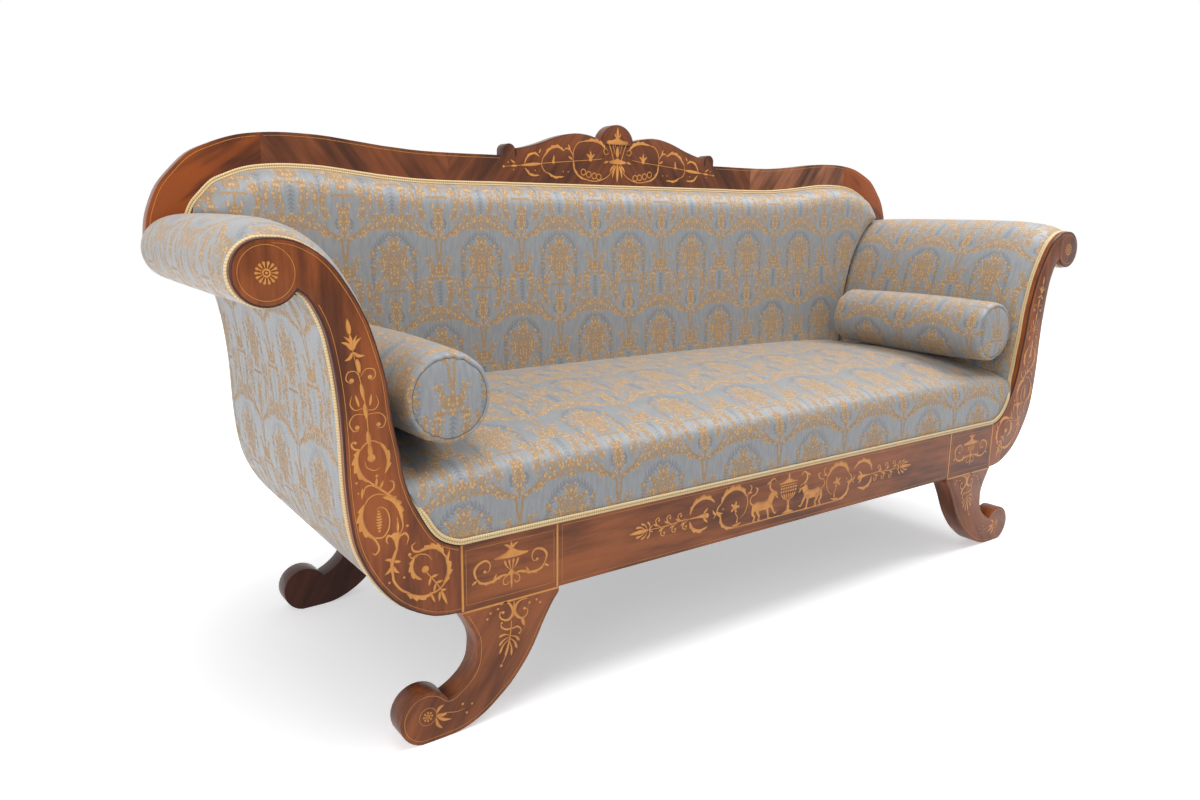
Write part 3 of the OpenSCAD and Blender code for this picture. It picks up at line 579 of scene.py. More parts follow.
def resampled(points, count):
    """A given number of points at even distances along a line."""
    runs = np.concatenate([[0], np.cumsum(np.linalg.norm(np.diff(points, axis=0), axis=1))])
    places = np.linspace(0, runs[-1], count)
    return np.stack([np.interp(places, runs, points[:, k]) for k in range(points.shape[1])], axis=1)


def evenly(points, spacing):
    """Points along a line at a spacing that fits its length evenly."""
    points = np.asarray(points, float)
    run = np.linalg.norm(np.diff(points, axis=0), axis=1).sum()
    return resampled(points, max(2, round(run / spacing) + 1))


def softened(points, passes):
    """A line or grid of points, each moved towards the middle of its neighbours."""
    points = points.copy()
    for _ in range(passes):
        points[1:-1] = points[1:-1] * 0.5 + (points[:-2] + points[2:]) * 0.25
    return points


def normals(points):
    """Unit directions to the left of a line."""
    run = np.gradient(points, axis=0)
    return np.stack([-run[:, 1], run[:, 0]], axis=1) / np.linalg.norm(run, axis=1)[:, None]


die_low, die_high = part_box("die_block_right")
joint_x = die_high.x
y_front = die_low.y
rail_top = die_high.z
leg_h = die_low.z
half_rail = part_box("front_rail")[1].x
facing_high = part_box("arm_facing_right")[1]
y_post = facing_high.y
y_back, y_rear = [corner.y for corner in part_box("crest_rail")]
roundel_r = 46.5 * millimetre
roundel = np.array([facing_high.x - roundel_r, facing_high.z - roundel_r])
facing_loop = outline("arm_facing_right")
facing_edge = between(facing_loop, (joint_x, leg_h), (joint_x, rail_top))[::-1]
facing_line = softened(evenly(facing_edge, 6 * millimetre), 1)
print("edge of the arm facing:", len(facing_loop), "corners,", len(facing_line), "points")

# %% [markdown]
# ## Show wood
# Real veneered edges are never knife sharp. A copy of each board gets a bevel on its open
# edges, and the bevel takes a darker colour: painted shade on the rounded edges. Edges that
# lie against another board keep sharp, so that a joint stays a thin line.

# %% Boards with rounded edges
def linked(name, mesh, *materials):
    """A new object in the scene, with its materials."""
    piece = bpy.data.objects.new(name, mesh)
    bpy.context.scene.collection.objects.link(piece)
    for one in materials:
        mesh.materials.append(one)
    return piece


def applied(piece):
    """Turns the modifiers of a piece into its mesh."""
    graph = bpy.context.evaluated_depsgraph_get()
    mesh = bpy.data.meshes.new_from_object(piece.evaluated_get(graph))
    piece.modifiers.clear()
    piece.data = mesh


def fitted(piece, kind, *nodes, body="sofa"):
    """The piece moves with a body and takes the place of solids; kind is not used."""
    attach(piece, body)
    if nodes:
        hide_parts(*nodes)


joint_planes = [("x", sign * x) for x in (joint_x, half_rail) for sign in (1, -1)]
joint_planes += [("z", leg_h), ("z", rail_top)]


def rounded_board(node, width, wood, sharp_planes=()):
    shape = clean_copy(node)
    weight = shape.edges.layers.float.new("bevel_weight_edge")
    for edge in shape.edges:
        if len(edge.link_faces) != 2 or edge.calc_face_angle() < math.radians(35):
            continue
        hidden = any(all(abs(getattr(v.co, axis) - value) < 1e-4 for v in edge.verts)
                     for axis, value in [*joint_planes, *sharp_planes])
        edge[weight] = 0.0 if hidden else 1.0
    mesh = bpy.data.meshes.new(node)
    shape.to_mesh(mesh)
    shape.free()
    piece = linked("show_" + node, mesh, wood, edge_painted_shade)
    bevel = piece.modifiers.new("edge", "BEVEL")
    bevel.limit_method = "WEIGHT"
    bevel.width = width
    bevel.segments = 3
    # The bevel faces take the second material, the painted edge shade.
    bevel.material = 1
    applied(piece)
    piece.data.shade_smooth()
    piece.data.set_sharp_from_angle(angle=math.radians(28))
    fitted(piece, "mahogany", node)

# %% Boards of show wood
edge_radius = 3 * millimetre
for side, slant in (("left", 55), ("right", -55)):
    rounded_board(f"arm_facing_{side}", edge_radius, facing_wood, [("y", y_post)])
    rounded_board(f"front_leg_{side}", edge_radius, mahogany[slant])
    # The rear legs take the painted shade of the space under the seat.
    rounded_board(f"rear_leg_{side}", edge_radius, rear_legs_painted_shade)
    rounded_board(f"rear_post_{side}", edge_radius, post_woods[side])
    rounded_board(f"die_block_{side}", 0.6 * millimetre, mahogany[0])
rounded_board("front_rail", 0.6 * millimetre, mahogany[0])
crest_joint = [("z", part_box(node)[0].z) for node in ("pediment", "ear_blocks")]
rounded_board("crest_rail", edge_radius, crest_wood_and_painted_reflection, crest_joint)
rounded_board("pediment", 2 * millimetre, crest_wood_and_painted_reflection, crest_joint)
rounded_board("finial_block", 2 * millimetre, crest_wood_and_painted_reflection)
rounded_board("ear_blocks", 2 * millimetre, crest_wood_and_painted_reflection, crest_joint)

# %% Finishes of the hidden solids
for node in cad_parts:
    wood = any(word in node for word in ("rail", "block", "dowel", "upright", "post", "roll_bar"))
    metal = "screws" in node or "springs" in node
    finish = steel if metal else beech if wood else jute
    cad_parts[node].data.materials.clear()
    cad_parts[node].data.materials.append(finish)
print("solids:", len(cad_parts))

# %% [markdown]
# ## Inlay: the drawing tools
# The light figures are thin slips of maple let into the mahogany. A picture could show them,
# but slips are sharper. Every slip is a strip along a line, with a width on its left and its
# right, so one tool draws stems, leaves, scrolls and urns. Sizes here are in millimetres.

# %% Strips along a line
def smooth_line(points, steps=6):
    """A curved line through points."""
    points = np.array(points, float)
    if len(points) < 3:
        return points[0] + np.linspace(0, 1, steps + 1)[:, None] * (points[-1] - points[0])
    padded = np.vstack([2 * points[0] - points[1], points, 2 * points[-1] - points[-2]])
    share = np.linspace(0, 1, steps, endpoint=False)[:, None]
    line = []
    for a, b, c, d in zip(padded, padded[1:], padded[2:], padded[3:]):
        line.append(0.5 * (2 * b + (c - a) * share + (2 * a - 5 * b + 4 * c - d) * share ** 2
                           + (3 * b - a - 3 * c + d) * share ** 3))
    return np.vstack([*line, points[-1:]])


def strip(line, left, right):
    """Left edge, middle and right edge of a slip of wood."""
    run = np.gradient(line, axis=0)
    run = run / np.maximum(np.linalg.norm(run, axis=1), 1e-9)[:, None]
    across = np.stack([-run[:, 1], run[:, 0]], axis=1)
    return np.stack([line + across * left[:, None], line, line - across * right[:, None]], axis=1)


def shares(line):
    return np.linspace(0, 1, len(line))

# %% Stems, leaves and scrolls
def ribbon(points, widths):
    """A stem or scroll whose width changes evenly through the given widths."""
    line = smooth_line(points)
    half = np.interp(shares(line), np.linspace(0, 1, len(widths)), widths) / 2
    return [strip(line, half, half)]


def bent_line(root, tip, bend):
    """A line from root to tip that bends to one side."""
    root, tip = np.array(root, float), np.array(tip, float)
    run = tip - root
    side = np.array([-run[1], run[0]]) / np.linalg.norm(run)
    return smooth_line([root, (root + tip) / 2 + side * bend, tip])


def leaf(root, tip, width, bend=0.0):
    """A slip that is pointed at both ends and bent to one side."""
    line = bent_line(root, tip, bend)
    half = np.sin(shares(line) ** 0.8 * math.pi) ** 0.8 * width / 2
    return [strip(line, half, half)]


def lobe(root, tip, width, bend=0.0):
    """A palm leaf: narrow at the root and round at the tip."""
    line = bent_line(root, tip, bend)
    half = (0.16 + 0.84 * shares(line) ** 1.6) * width / 2
    half[-3:] *= (0.85, 0.6, 0.1)
    return [strip(line, half, half)]


def acanthus(points, width, teeth, side=1):
    """A scroll with a toothed leaf along its outer side, left of the line or right of it."""
    line = smooth_line(points, 10)
    place = shares(line)
    swell = np.sin(place ** 0.9 * math.pi) ** 0.6
    tooth = (place * teeth) % 1.0
    outer = width * 0.75 * swell * (0.42 + 0.58 * tooth ** 0.9) + 0.4
    inner = width * 0.25 * swell + 0.3
    return [strip(line, outer, inner) if side > 0 else strip(line, inner, outer)]


def disc(centre, radius):
    across = np.cos(np.linspace(math.pi, 0, 11)) * radius
    line = np.array(centre) + across[:, None] * (1, 0)
    half = np.sin(np.linspace(0.02, math.pi - 0.02, 11)) * radius
    return [strip(line, half, half)]


def string(line, width=0.8):
    """A narrow slip of one width."""
    half = np.full(len(line), width / 2)
    return [strip(line, half, half)]


def hoop(centre, radius, width, steps=33):
    angles = np.linspace(0, math.tau, steps)
    return string(np.array(centre) + np.stack([np.cos(angles), np.sin(angles)], axis=1) * radius, width)

# %% Turned shapes, rosettes and pairs
def turned_shape(x, profile):
    """An upright shape, the same on both sides, from pairs of height and width."""
    heights, widths = zip(*profile)
    line = np.stack([np.full(len(heights), float(x)), heights], axis=1)
    half = np.array(widths) / 2
    return [strip(line, half, half)]


def rosette(centre, radius, petals):
    """A ring of petals round a small ring and a dot."""
    centre = np.array(centre, float)
    slips = hoop(centre, radius * 0.30, radius * 0.16, steps=17) + disc(centre, radius * 0.12)
    for k in range(petals):
        away = np.array([math.cos(k * math.tau / petals), math.sin(k * math.tau / petals)])
        slips += lobe(centre + away * radius * 0.40, centre + away * radius * 0.98, radius * 5.2 / petals)
    return slips


def mirrored_slips(slips, x=0.0):
    """The same slips on the other side of an upright line."""
    return [slip[::-1] * (-1, 1) + (2 * x, 0) for slip in slips]


def both_sides(slips, x=0.0):
    return slips + mirrored_slips(slips, x)


print("points in one leaf:", leaf((0, 0), (0, 20), 5)[0].shape[:2])

# %% [markdown]
# ## Inlay of the arms
# From the roundel down: a flame over a spray of leaves, a staff with beads and hooks, and
# three leafy scrolls that fill the wide foot of the arm. They could be one list of slips, but
# with one function for each scroll a part of the arm can be changed without the rest.

# %% Arm figures
def arm_staff():
    return [
        *leaf((921, 672), (924, 696), 7), *leaf((918, 650), (921, 675), 5.5),
        *leaf((919, 650), (934, 663), 5, 3), *leaf((918, 653), (930, 671), 3.4, 3),
        *leaf((917, 650), (904, 668), 5, -3), *leaf((917, 653), (910, 672), 3.4, -2),
        *leaf((918, 648), (930, 636), 5, -3), *leaf((917, 648), (900, 642), 5, 3),
        *ribbon([(918, 652), (912, 622), (905, 588), (901, 550), (899, 504)], [1.0, 1.6, 1.2]),
        *leaf((912, 638), (908, 616), 6.5), *leaf((908, 603), (904, 575), 6),
        *leaf((904, 573), (901, 547), 7), *leaf((901, 532), (898, 503), 7), *disc((921, 607), 3.4),
        *ribbon([(909, 612), (916, 620), (926, 619), (929, 609), (922, 603)], [0.8, 1.8, 1.4]),
        *disc((894, 610), 3.4),
        *ribbon([(908, 612), (900, 622), (888, 621), (886, 611), (893, 605)], [0.8, 1.8, 1.4]),
        *leaf((912, 568), (917, 587), 4),
        *ribbon([(905, 566), (918, 564), (925, 573), (922, 585)], [0.8, 1.8, 0.8]),
        *leaf((896, 568), (893, 586), 4),
        *ribbon([(904, 564), (890, 562), (883, 571), (886, 583)], [0.8, 1.8, 0.8]),
        *disc((916, 538), 3.4),
        *ribbon([(903, 556), (919, 557), (927, 546), (922, 534), (914, 534)], [0.8, 2, 1.4]),
        *disc((884, 539), 3.4),
        *ribbon([(901, 556), (882, 556), (873, 546), (877, 535), (886, 534)], [0.8, 2, 1.4])]


def arm_first_scroll():
    return [
        *leaf((899, 512), (897, 486), 8), *disc((897, 490), 6.2),
        *ribbon([(907, 487), (904, 477), (893, 471), (884, 474)], [0.8, 1.8, 0.8]),
        *acanthus([(877, 464), (872, 481), (875, 498), (884, 512)], 8, 3),
        *ribbon([(884, 511), (895, 516), (906, 512), (914, 503)], [1.6, 2.2, 1.8]),
        *acanthus([(914, 506), (919, 492), (918, 478), (912, 465), (902, 455)], 11, 5),
        *ribbon([(905, 458), (892, 447), (878, 435), (866, 425)], [2.4, 3.4, 4]),
        *ribbon([(914, 505), (922, 507), (926, 514), (921, 519)], [2.6, 3.4, 1.6]),
        *disc((920, 516), 2.2), *leaf((892, 446), (890, 460), 4.5), *disc((890, 462), 2.2),
        *leaf((886, 442), (880, 454), 4.5),
        *ribbon([(874, 432), (865, 439), (865, 449), (871, 451)], [3.4, 2.6, 1.2]),
        *ribbon([(890, 443), (899, 449), (908, 447), (911, 437)], [1, 2.6, 1.2]),
        *leaf((912, 447), (914, 430), 4), *disc((921, 456), 1.9), *disc((919, 440), 1.5)]


def arm_second_scroll():
    slips = [
        *ribbon([(876, 430), (890, 434), (903, 430), (912, 418)], [1, 2.2, 1.8]),
        *acanthus([(911, 422), (916, 405), (914, 389), (907, 376), (896, 367)], 12, 5),
        *ribbon([(899, 368), (893, 358), (891, 348), (897, 341), (902, 345)], [3.4, 3.4, 2.6, 1.2]),
        *ribbon([(896, 367), (884, 366), (875, 377), (873, 393), (877, 407), (886, 413),
                (893, 410)], [2.6, 2.2, 1.2])]
    for k in range(8):
        half = 5.4 * math.sin(math.pi * (k + 1.2) / 9.5)
        slips += leaf((889.5 - half, 408.5 - 4.4 * k), (889.5 + half, 408.5 - 4.4 * k), 3.6, -1.4)
    slips += [
        *acanthus([(882, 428), (867, 421), (857, 406), (853, 386)], 12, 5, -1),
        *ribbon([(854, 394), (852, 377), (858, 364)], [3, 2, 1.4]),
        *ribbon([(861, 392), (859, 376), (862, 366)], [1.6, 1.2]),
        *turned_shape(863, [(369, 10), (366, 17), (362, 15), (356, 8), (348, 4.5), (339, 3.5)]),
        *ribbon([(868, 362), (876, 366), (879, 359), (876, 353)], [2, 4.2, 2.4, 1]),
        *ribbon([(858, 362), (849, 365), (844, 357), (847, 346)], [2, 4.2, 2.4, 1]),
        *leaf((861, 369), (860, 388), 4), *disc((845, 376), 2.2)]
    return slips


def arm_third_scroll():
    return [
        *ribbon([(864, 341), (868, 331), (872, 318), (871, 303), (869, 291), (859, 276),
                (845, 266)], [4, 6.5, 4, 4, 3.6]),
        *leaf((869, 322), (883, 329), 5.5, 2), *leaf((871, 318), (884, 305), 5.5, -2),
        *leaf((869, 324), (857, 321), 5), *leaf((870, 317), (860, 303), 5, 2), *disc((877, 291), 2),
        *disc((853, 294), 2), *acanthus([(850, 268), (836, 259), (822, 255), (806, 257)], 10, 4),
        *ribbon([(812, 257), (799, 259), (786, 269), (780, 284)], [4, 2.4, 3.4]),
        *leaf((810, 258), (803, 240), 4.5),
        *acanthus([(789, 266), (780, 283), (779, 298), (784, 315)], 10, 4),
        *leaf((782, 300), (776, 323), 4.5),
        *ribbon([(783, 312), (789, 321), (798, 328)], [2.4, 3, 2.4]),
        *acanthus([(786, 320), (797, 330), (812, 333), (830, 329)], 11, 5),
        *ribbon([(826, 330), (836, 333), (839, 342), (832, 347)], [3, 3.8, 2.4, 1.2]),
        *ribbon([(830, 327), (839, 322), (844, 328)], [1.2, 2.4, 1.4]), *disc((843, 329), 2.8),
        *acanthus([(835, 323), (840, 308), (836, 294), (824, 284)], 9, 4),
        *ribbon([(834, 322), (826, 326), (814, 322), (806, 312)], [1.2, 2, 0.8]),
        *disc((818, 299), 6), *ribbon([(816, 294), (800, 272), (789, 254)], [1.4, 2, 1.4]),
        *leaf((809, 284), (813, 270), 4.5), *leaf((809, 284), (796, 286), 4.5),
        *leaf((801, 272), (805, 257), 4.5), *leaf((801, 273), (788, 274), 4.5),
        *leaf((792, 258), (782, 231), 5.5), *leaf((792, 259), (783, 257), 4.5),
        *leaf((794, 257), (796, 240), 4.5)]


arm_slips = arm_staff() + arm_first_scroll() + arm_second_scroll() + arm_third_scroll()
arm_slips += rosette(roundel / millimetre, 16, 14)
print("slips in one arm:", len(arm_slips))

# %% [markdown]
# ## Inlay of the legs and die blocks
# Each front leg has two scrolls and a hanging palmette, with a small rosette in the foot. The
# block above it has a lidded lamp with scroll handles inside a string rectangle. The lamp is
# the same on both sides, so only its right half is drawn, about an upright line at x.

# %% Leg and block figures
def leg_figure():
    slips = [
        *leaf((661, 176), (660, 209), 3.6),
        *ribbon([(686, 205), (674, 207), (665, 197), (662, 185), (670, 175), (681, 177),
                (688, 185), (686, 192), (680, 190)], [1.4, 2.6, 5, 6, 5, 3.4, 2.6, 2, 1.6]),
        *disc((681, 190), 2.6),
        *ribbon([(634, 204), (646, 204), (655, 199), (659, 187), (653, 176), (644, 171),
                (636, 175), (634, 183), (640, 188)], [1.4, 2.6, 5, 6, 5, 3.4, 2.6, 2, 1.6]),
        *disc((640, 187), 2.6), *leaf((645, 173), (640, 155), 7)]
    for centre in ((691, 199), (705, 195), (711, 186), (630, 195), (616, 197), (609, 190)):
        slips += disc(centre, 2.2)
    slips += [
        *ribbon([(664, 158), (675, 158), (685, 165), (685, 173)], [2.4, 3.6, 2.4, 1.4]),
        *disc((684, 172), 2),
        *ribbon([(664, 157), (654, 158), (647, 151), (649, 144)], [2.4, 3.6, 2.4, 1.4]),
        *disc((650, 145), 2), *lobe((669, 146), (690, 148), 6.5, 3),
        *lobe((669, 143), (690, 132), 6.5, 3), *lobe((670, 140), (689, 117), 6.5, 3),
        *lobe((671, 137), (678, 109), 6.5), *lobe((670, 138), (666, 108), 6.5, -2),
        *lobe((669, 141), (655, 118), 6.5, -3), *lobe((668, 145), (650, 131), 6.5, -3),
        *ribbon([(665, 172), (668, 146), (674, 118), (684, 99)], [1.6, 2.4, 1.6]),
        *disc((686, 95), 2.6)]
    return slips


def foot_figure():
    return [
        *hoop((821, 47), 15, 0.9), *rosette((821, 47), 9, 8), *leaf((806, 45), (786, 43), 6.5, 2),
        *leaf((806, 43), (779, 29), 5.5, 3), *leaf((807, 40), (796, 18), 5.5, 3),
        *leaf((806, 48), (792, 59), 5.5, -3), *ribbon([(786, 43), (770, 39), (756, 40)], [1.2, 0.8]),
        *disc((759, 49), 2.2), *disc((742, 44), 1.8), *disc((752, 31), 2)]


def lamp_figure(x):
    slips = [
        *turned_shape(x, [(284, 20), (286, 60), (289, 67), (291, 46), (294, 26), (298, 13),
                (301, 6)]),
        *leaf((x, 299), (x, 313), 5.5)]
    side = [
        *leaf((x + 1, 299), (x + 14, 309), 4.5, 2), *disc((x + 6, 306), 1.6)]
    for k in (0.5, 1.5):
        side += lobe((x + k, 263), (x + 9 * k, 282), 6.4, -1.5 * k)
    side += [
        *acanthus([(x + 4, 256), (x + 20, 256), (x + 38, 250), (x + 56, 252),
                (x + 67, 264)], 6, 6, -1),
        *ribbon([(x + 66, 262), (x + 69, 275), (x + 62, 285), (x + 48, 289), (x + 40, 281),
                (x + 42, 270), (x + 50, 268)], [3.4, 5, 4.4, 3, 2, 1.4]),
        *disc((x + 50, 270), 2.8),
        *ribbon([(x + 2, 256), (x + 14, 250), (x + 15, 241), (x + 8, 239), (x + 6, 244)],
                [1.4, 2.2, 1.6]),
        *leaf((x + 64, 258), (x + 74, 252), 4), *leaf((x + 34, 251), (x + 28, 262), 4)]
    slips += [
        *both_sides(side, x),
        *turned_shape(x, [(264, 4), (260, 9), (257, 14), (254, 6), (248, 3.6), (240, 5), (229, 0.6)])]
    return slips


leg_slips = leg_figure() + foot_figure()
block_slips = lamp_figure((die_low.x + die_high.x) / 2 / millimetre)
print("slips in one leg and its block:", len(leg_slips), len(block_slips))

# %% [markdown]
# ## Inlay of the front rail
# The middle of the rail has a lidded urn between two beasts. Leafy scrolls and a palmette
# run out from them to each side. Only one half is drawn, and the other is its mirror image.

# %% Rail figures
def beast():
    """A standing lion that looks at the urn, its tail raised."""
    return [
        *ribbon([(103, 264), (92, 263), (78, 262), (62, 263), (52, 270)], [13, 22, 18, 20, 17]),
        *ribbon([(56, 268), (49, 280), (41, 283), (34, 278)], [17, 17, 12, 6]),
        *leaf((46, 286), (50, 294), 4),
        *ribbon([(100, 266), (103, 250), (97, 242), (101, 233), (95, 233)], [11, 7, 5, 4.4, 3.4]),
        *ribbon([(92, 260), (88, 248), (84, 241), (87, 234), (81, 233)], [12, 7, 5, 4, 3.4]),
        *ribbon([(62, 262), (60, 247), (58, 240), (58, 234), (52, 233)], [9, 6, 4.6, 4, 3.4]),
        *ribbon([(53, 262), (46, 251), (42, 244), (39, 240), (34, 242)], [9, 6, 4.6, 4, 3]),
        *ribbon([(104, 268), (112, 277), (108, 288), (98, 291), (92, 300), (98, 305)],
                [4, 3, 2.4, 2.6, 4.6, 1.6])]


def rail_urn():
    slips = [
        *leaf((0, 307), (0, 320), 6),
        *turned_shape(0, [(298, 54), (300, 58), (302, 34), (305, 20), (308, 8)]),
        *turned_shape(0, [(293, 48), (295, 52)])]
    for height in (288, 281):
        for k in range(-3, 4):
            slips += turned_shape(k * 25 / 3.5, [(height - 2.2, 5.2), (height + 2.2, 5.2)])
    for k in range(-3, 4):
        slips += lobe((k * 2.2, 262), (k * 7.0, 276), 5.6, -0.6 * k)
    slips += [
        *turned_shape(0, [(262, 14), (258, 7), (252, 5), (246, 9), (242, 6), (239, 12),
                (236, 30), (233, 34)])]
    handle = [
        *ribbon([(34, 281), (46, 286), (56, 298), (54, 311), (44, 315), (38, 308)],
                [2, 4, 5.4, 4.4, 3, 1.6]),
        *leaf((53, 308), (66, 304), 5, 2), *leaf((40, 280), (30, 270), 4)]
    return slips + both_sides(handle)


def rail_scrolls():
    slips = [
        *acanthus([(192, 288), (180, 305), (157, 313), (135, 306), (121, 289)], 13, 6, -1),
        *ribbon([(121, 291), (119, 276), (126, 258), (140, 247)], [2.4, 2.8, 1.8, 1]),
        *disc((154, 274), 6.5)]
    for k in range(5):
        away = np.array([math.cos(k * 1.257 + 0.6), math.sin(k * 1.257 + 0.6)])
        slips += leaf(np.array((154, 274)) + away * 6, np.array((154, 274)) + away * 13, 6)
    slips += [
        *ribbon([(153, 262), (146, 252), (147, 243)], [2, 2.6, 4]), *disc((147, 242), 2.6),
        *acanthus([(193, 262), (188, 246), (174, 236), (152, 232)], 8, 4),
        *leaf((160, 236), (134, 240), 5, 2),
        *ribbon([(121, 292), (113, 299), (109, 308), (115, 313)], [2, 3, 2]),
        *leaf((120, 298), (106, 296), 4),
        *ribbon([(192, 288), (200, 281), (204, 270), (211, 262)], [2, 3.4, 3, 2]),
        *leaf((203, 273), (186, 268), 5.5, 2), *leaf((203, 270), (190, 254), 5.5, -3),
        *leaf((204, 268), (214, 280), 5, -2), *disc((186, 276), 2),
        *acanthus([(273, 281), (263, 299), (243, 308), (223, 305), (209, 294)], 11, 5, -1),
        *acanthus([(273, 268), (264, 252), (247, 245), (226, 249)], 9, 4),
        *ribbon([(272, 273), (252, 273), (240, 273), (232, 272)], [2, 4, 8, 14]),
        *disc((229, 271), 5.4), *leaf((238, 277), (226, 287), 5), *leaf((238, 268), (226, 257), 5)]
    return slips


def rail_palmette():
    slips = ribbon([(374, 272), (346, 271), (318, 272), (292, 274), (270, 273)], [1.4, 2.2, 1.8])
    for x, lift in ((357, 1), (330, 1), (303, 0.9), (344, -1), (317, -0.9), (290, -0.9)):
        slips += [
            *ribbon([(x - 12, 272), (x - 3, 272 + 6 * lift), (x, 272 + 15 * lift),
                    (x - 7, 272 + 19 * lift), (x - 10, 272 + 13 * lift)], [1.4, 2.8, 2.2, 1.6]),
            *disc((x - 8, 272 + 13 * lift), 2.4),
            *leaf((x - 4, 272 + 3 * lift), (x + 6, 272 + 9 * lift), 4)]
    slips += leaf((374, 272), (419, 271), 8)
    for tip_x, tip_z, root in ((404, 281, 380), (392, 287, 376), (377, 288, 371)):
        slips += [
            *lobe((root, 273), (tip_x, tip_z), 6.5, 3),
            *lobe((root, 271), (tip_x, 543 - tip_z), 6.5, -3)]
    return slips + ribbon([(364, 266), (372, 272), (364, 279)], [2.4, 3, 2.4])


rail_slips = both_sides(beast() + rail_scrolls() + rail_palmette()) + rail_urn()
print("slips in the front rail:", len(rail_slips))

# %% [markdown]
# ## Inlay of the crest
# The raised middle of the back has a lidded lamp on a tripod, with its flame in the round
# block. Broad scrolls with loops of beads stand at its sides, and thin stems run outwards. As
# on the rail, one half is drawn and mirrored: both halves were sawn from one stack of veneers.

# %% Crest figures
def crest_lamp():
    slips = [
        *leaf((0, 1020), (0, 1046), 8),
        *turned_shape(0, [(1006, 58), (1010, 66), (1014, 60), (1016, 30), (1020, 12), (1023, 5)]),
        *leaf((0, 974), (0, 1002), 11),
        *turned_shape(0, [(973, 6), (970, 14), (968, 34), (965, 52), (961, 50), (959, 20)]),
        *leaf((0, 960), (0, 915), 9)]
    side = [
        *leaf((1, 1021), (9, 1033), 4, -2),
        *ribbon([(26, 1006), (19, 990), (12, 969)], [2.6, 2, 2.6]),
        *ribbon([(14, 1006), (11, 995), (9, 984)], [2, 1.4]),
        *ribbon([(7, 1006), (6, 1000)], [1.6, 1.6]), *leaf((4, 957), (15, 925), 6, 2),
        *leaf((8, 957), (24, 938), 5, 2), *leaf((28, 965), (42, 960), 5),
        *ribbon([(27, 984), (38, 981), (42, 990), (35, 995), (31, 990)], [1.2, 2.4, 1.6])]
    return slips + both_sides(side)


def crest_scrolls():
    slips = [
        *acanthus([(36, 993), (52, 1006), (74, 1011), (102, 1008)], 10, 5),
        *ribbon([(98, 1009), (119, 1003), (131, 984), (132, 962)], [2.0, 1.8, 2.4]),
        *acanthus([(132, 968), (128, 942), (110, 924), (84, 918)], 6, 4, -1),
        *ribbon([(88, 918), (62, 917), (34, 926), (16, 942), (10, 958)], [2.4, 2.6, 2.0, 1.6])]
    for centre in ((102, 937), (86, 932), (70, 929), (56, 927)):
        slips += hoop(centre, 7, 2.4, steps=17)
    slips += [
        *disc((81, 967), 5), *leaf((81, 968), (81, 988), 6), *leaf((83, 968), (94, 980), 5, 2),
        *leaf((79, 968), (68, 980), 5, -2),
        *ribbon([(46, 970), (81, 966), (188, 956), (262, 948), (322, 942)], [1.2, 1.4, 1.2]),
        *ribbon([(132, 975), (141, 986), (151, 990), (160, 984)], [2, 3, 2]),
        *leaf((140, 984), (146, 1000), 4.5), *leaf((134, 965), (146, 972), 4.5),
        *acanthus([(158, 983), (176, 992), (198, 985), (218, 963)], 8.5, 5),
        *ribbon([(218, 964), (220, 948), (211, 935), (196, 929)], [2, 2, 1.6]),
        *acanthus([(202, 932), (184, 924), (158, 925)], 6, 3), *disc((188, 957), 4),
        *leaf((188, 957), (186, 974), 5),
        *acanthus([(226, 968), (241, 974), (258, 966), (267, 950)], 6, 3),
        *leaf((228, 975), (222, 986), 4), *acanthus([(266, 941), (250, 926), (226, 925)], 6, 3, -1),
        *leaf((220, 952), (280, 946), 7.5)]
    for x in (146, 160, 214, 238, 296, 310):
        slips += disc((x, 936 if x < 300 else 952), 1.6)
    return slips + [
        *leaf((286, 945), (304, 944), 5), *disc((322, 942), 2.6), *leaf((292, 950), (304, 958), 3.6)]


crest_slips = both_sides(crest_scrolls()) + crest_lamp()
print("slips in the crest:", len(crest_slips))

# %% [markdown]
# ## Laying the inlay
# All slips of one place become one thin mesh that stands a hair proud of the veneer. Slips
# that cross lie at slightly different heights, so that no two of them share one plane.
# Single lines of string run near the edges of the boards. They could be drawn by hand too,
# but a line moved inwards from the board's own outline keeps its distance everywhere.

# %% Slips to meshes
def flat_mesh(name, points, faces, flat):
    """A mesh whose points each have a place on the flat cloth, cord or slip."""
    mesh = bpy.data.meshes.new(name)
    mesh.from_pydata(points, [], faces)
    layer = mesh.uv_layers.new(name="flat")
    for loop in mesh.loops:
        layer.data[loop.index].uv = flat[loop.vertex_index]
    return mesh


def laid(name, slips, plane):
    """One mesh from slips, in metres, on an upright plane that faces the front."""
    points, faces, flat = [], [], []
    for k, slip in enumerate(slips):
        base = len(points)
        height = plane - (0.14 + 0.012 * (k % 9)) * millimetre
        for i, row in enumerate(slip):
            for j, (x, z) in enumerate(row):
                points.append((x * millimetre, height, z * millimetre))
                flat.append((i / (len(slip) - 1), j / 2))
        faces += [(base + i * 3 + j, base + i * 3 + j + 3, base + i * 3 + j + 4, base + i * 3 + j + 1)
                  for i in range(len(slip) - 1) for j in (0, 1)]
    mesh = flat_mesh(name, points, faces, flat)
    if sum(face.normal.y for face in mesh.polygons) > 0:
        mesh.flip_normals()
    fitted(linked(name, mesh, inlay), "mahogany")

# %% Strings along the edges
def inset_line(border, inset):
    """A line inside an edge, in millimetres, from a line along the edge in metres."""
    return (border - normals(border) * inset * millimetre) / millimetre


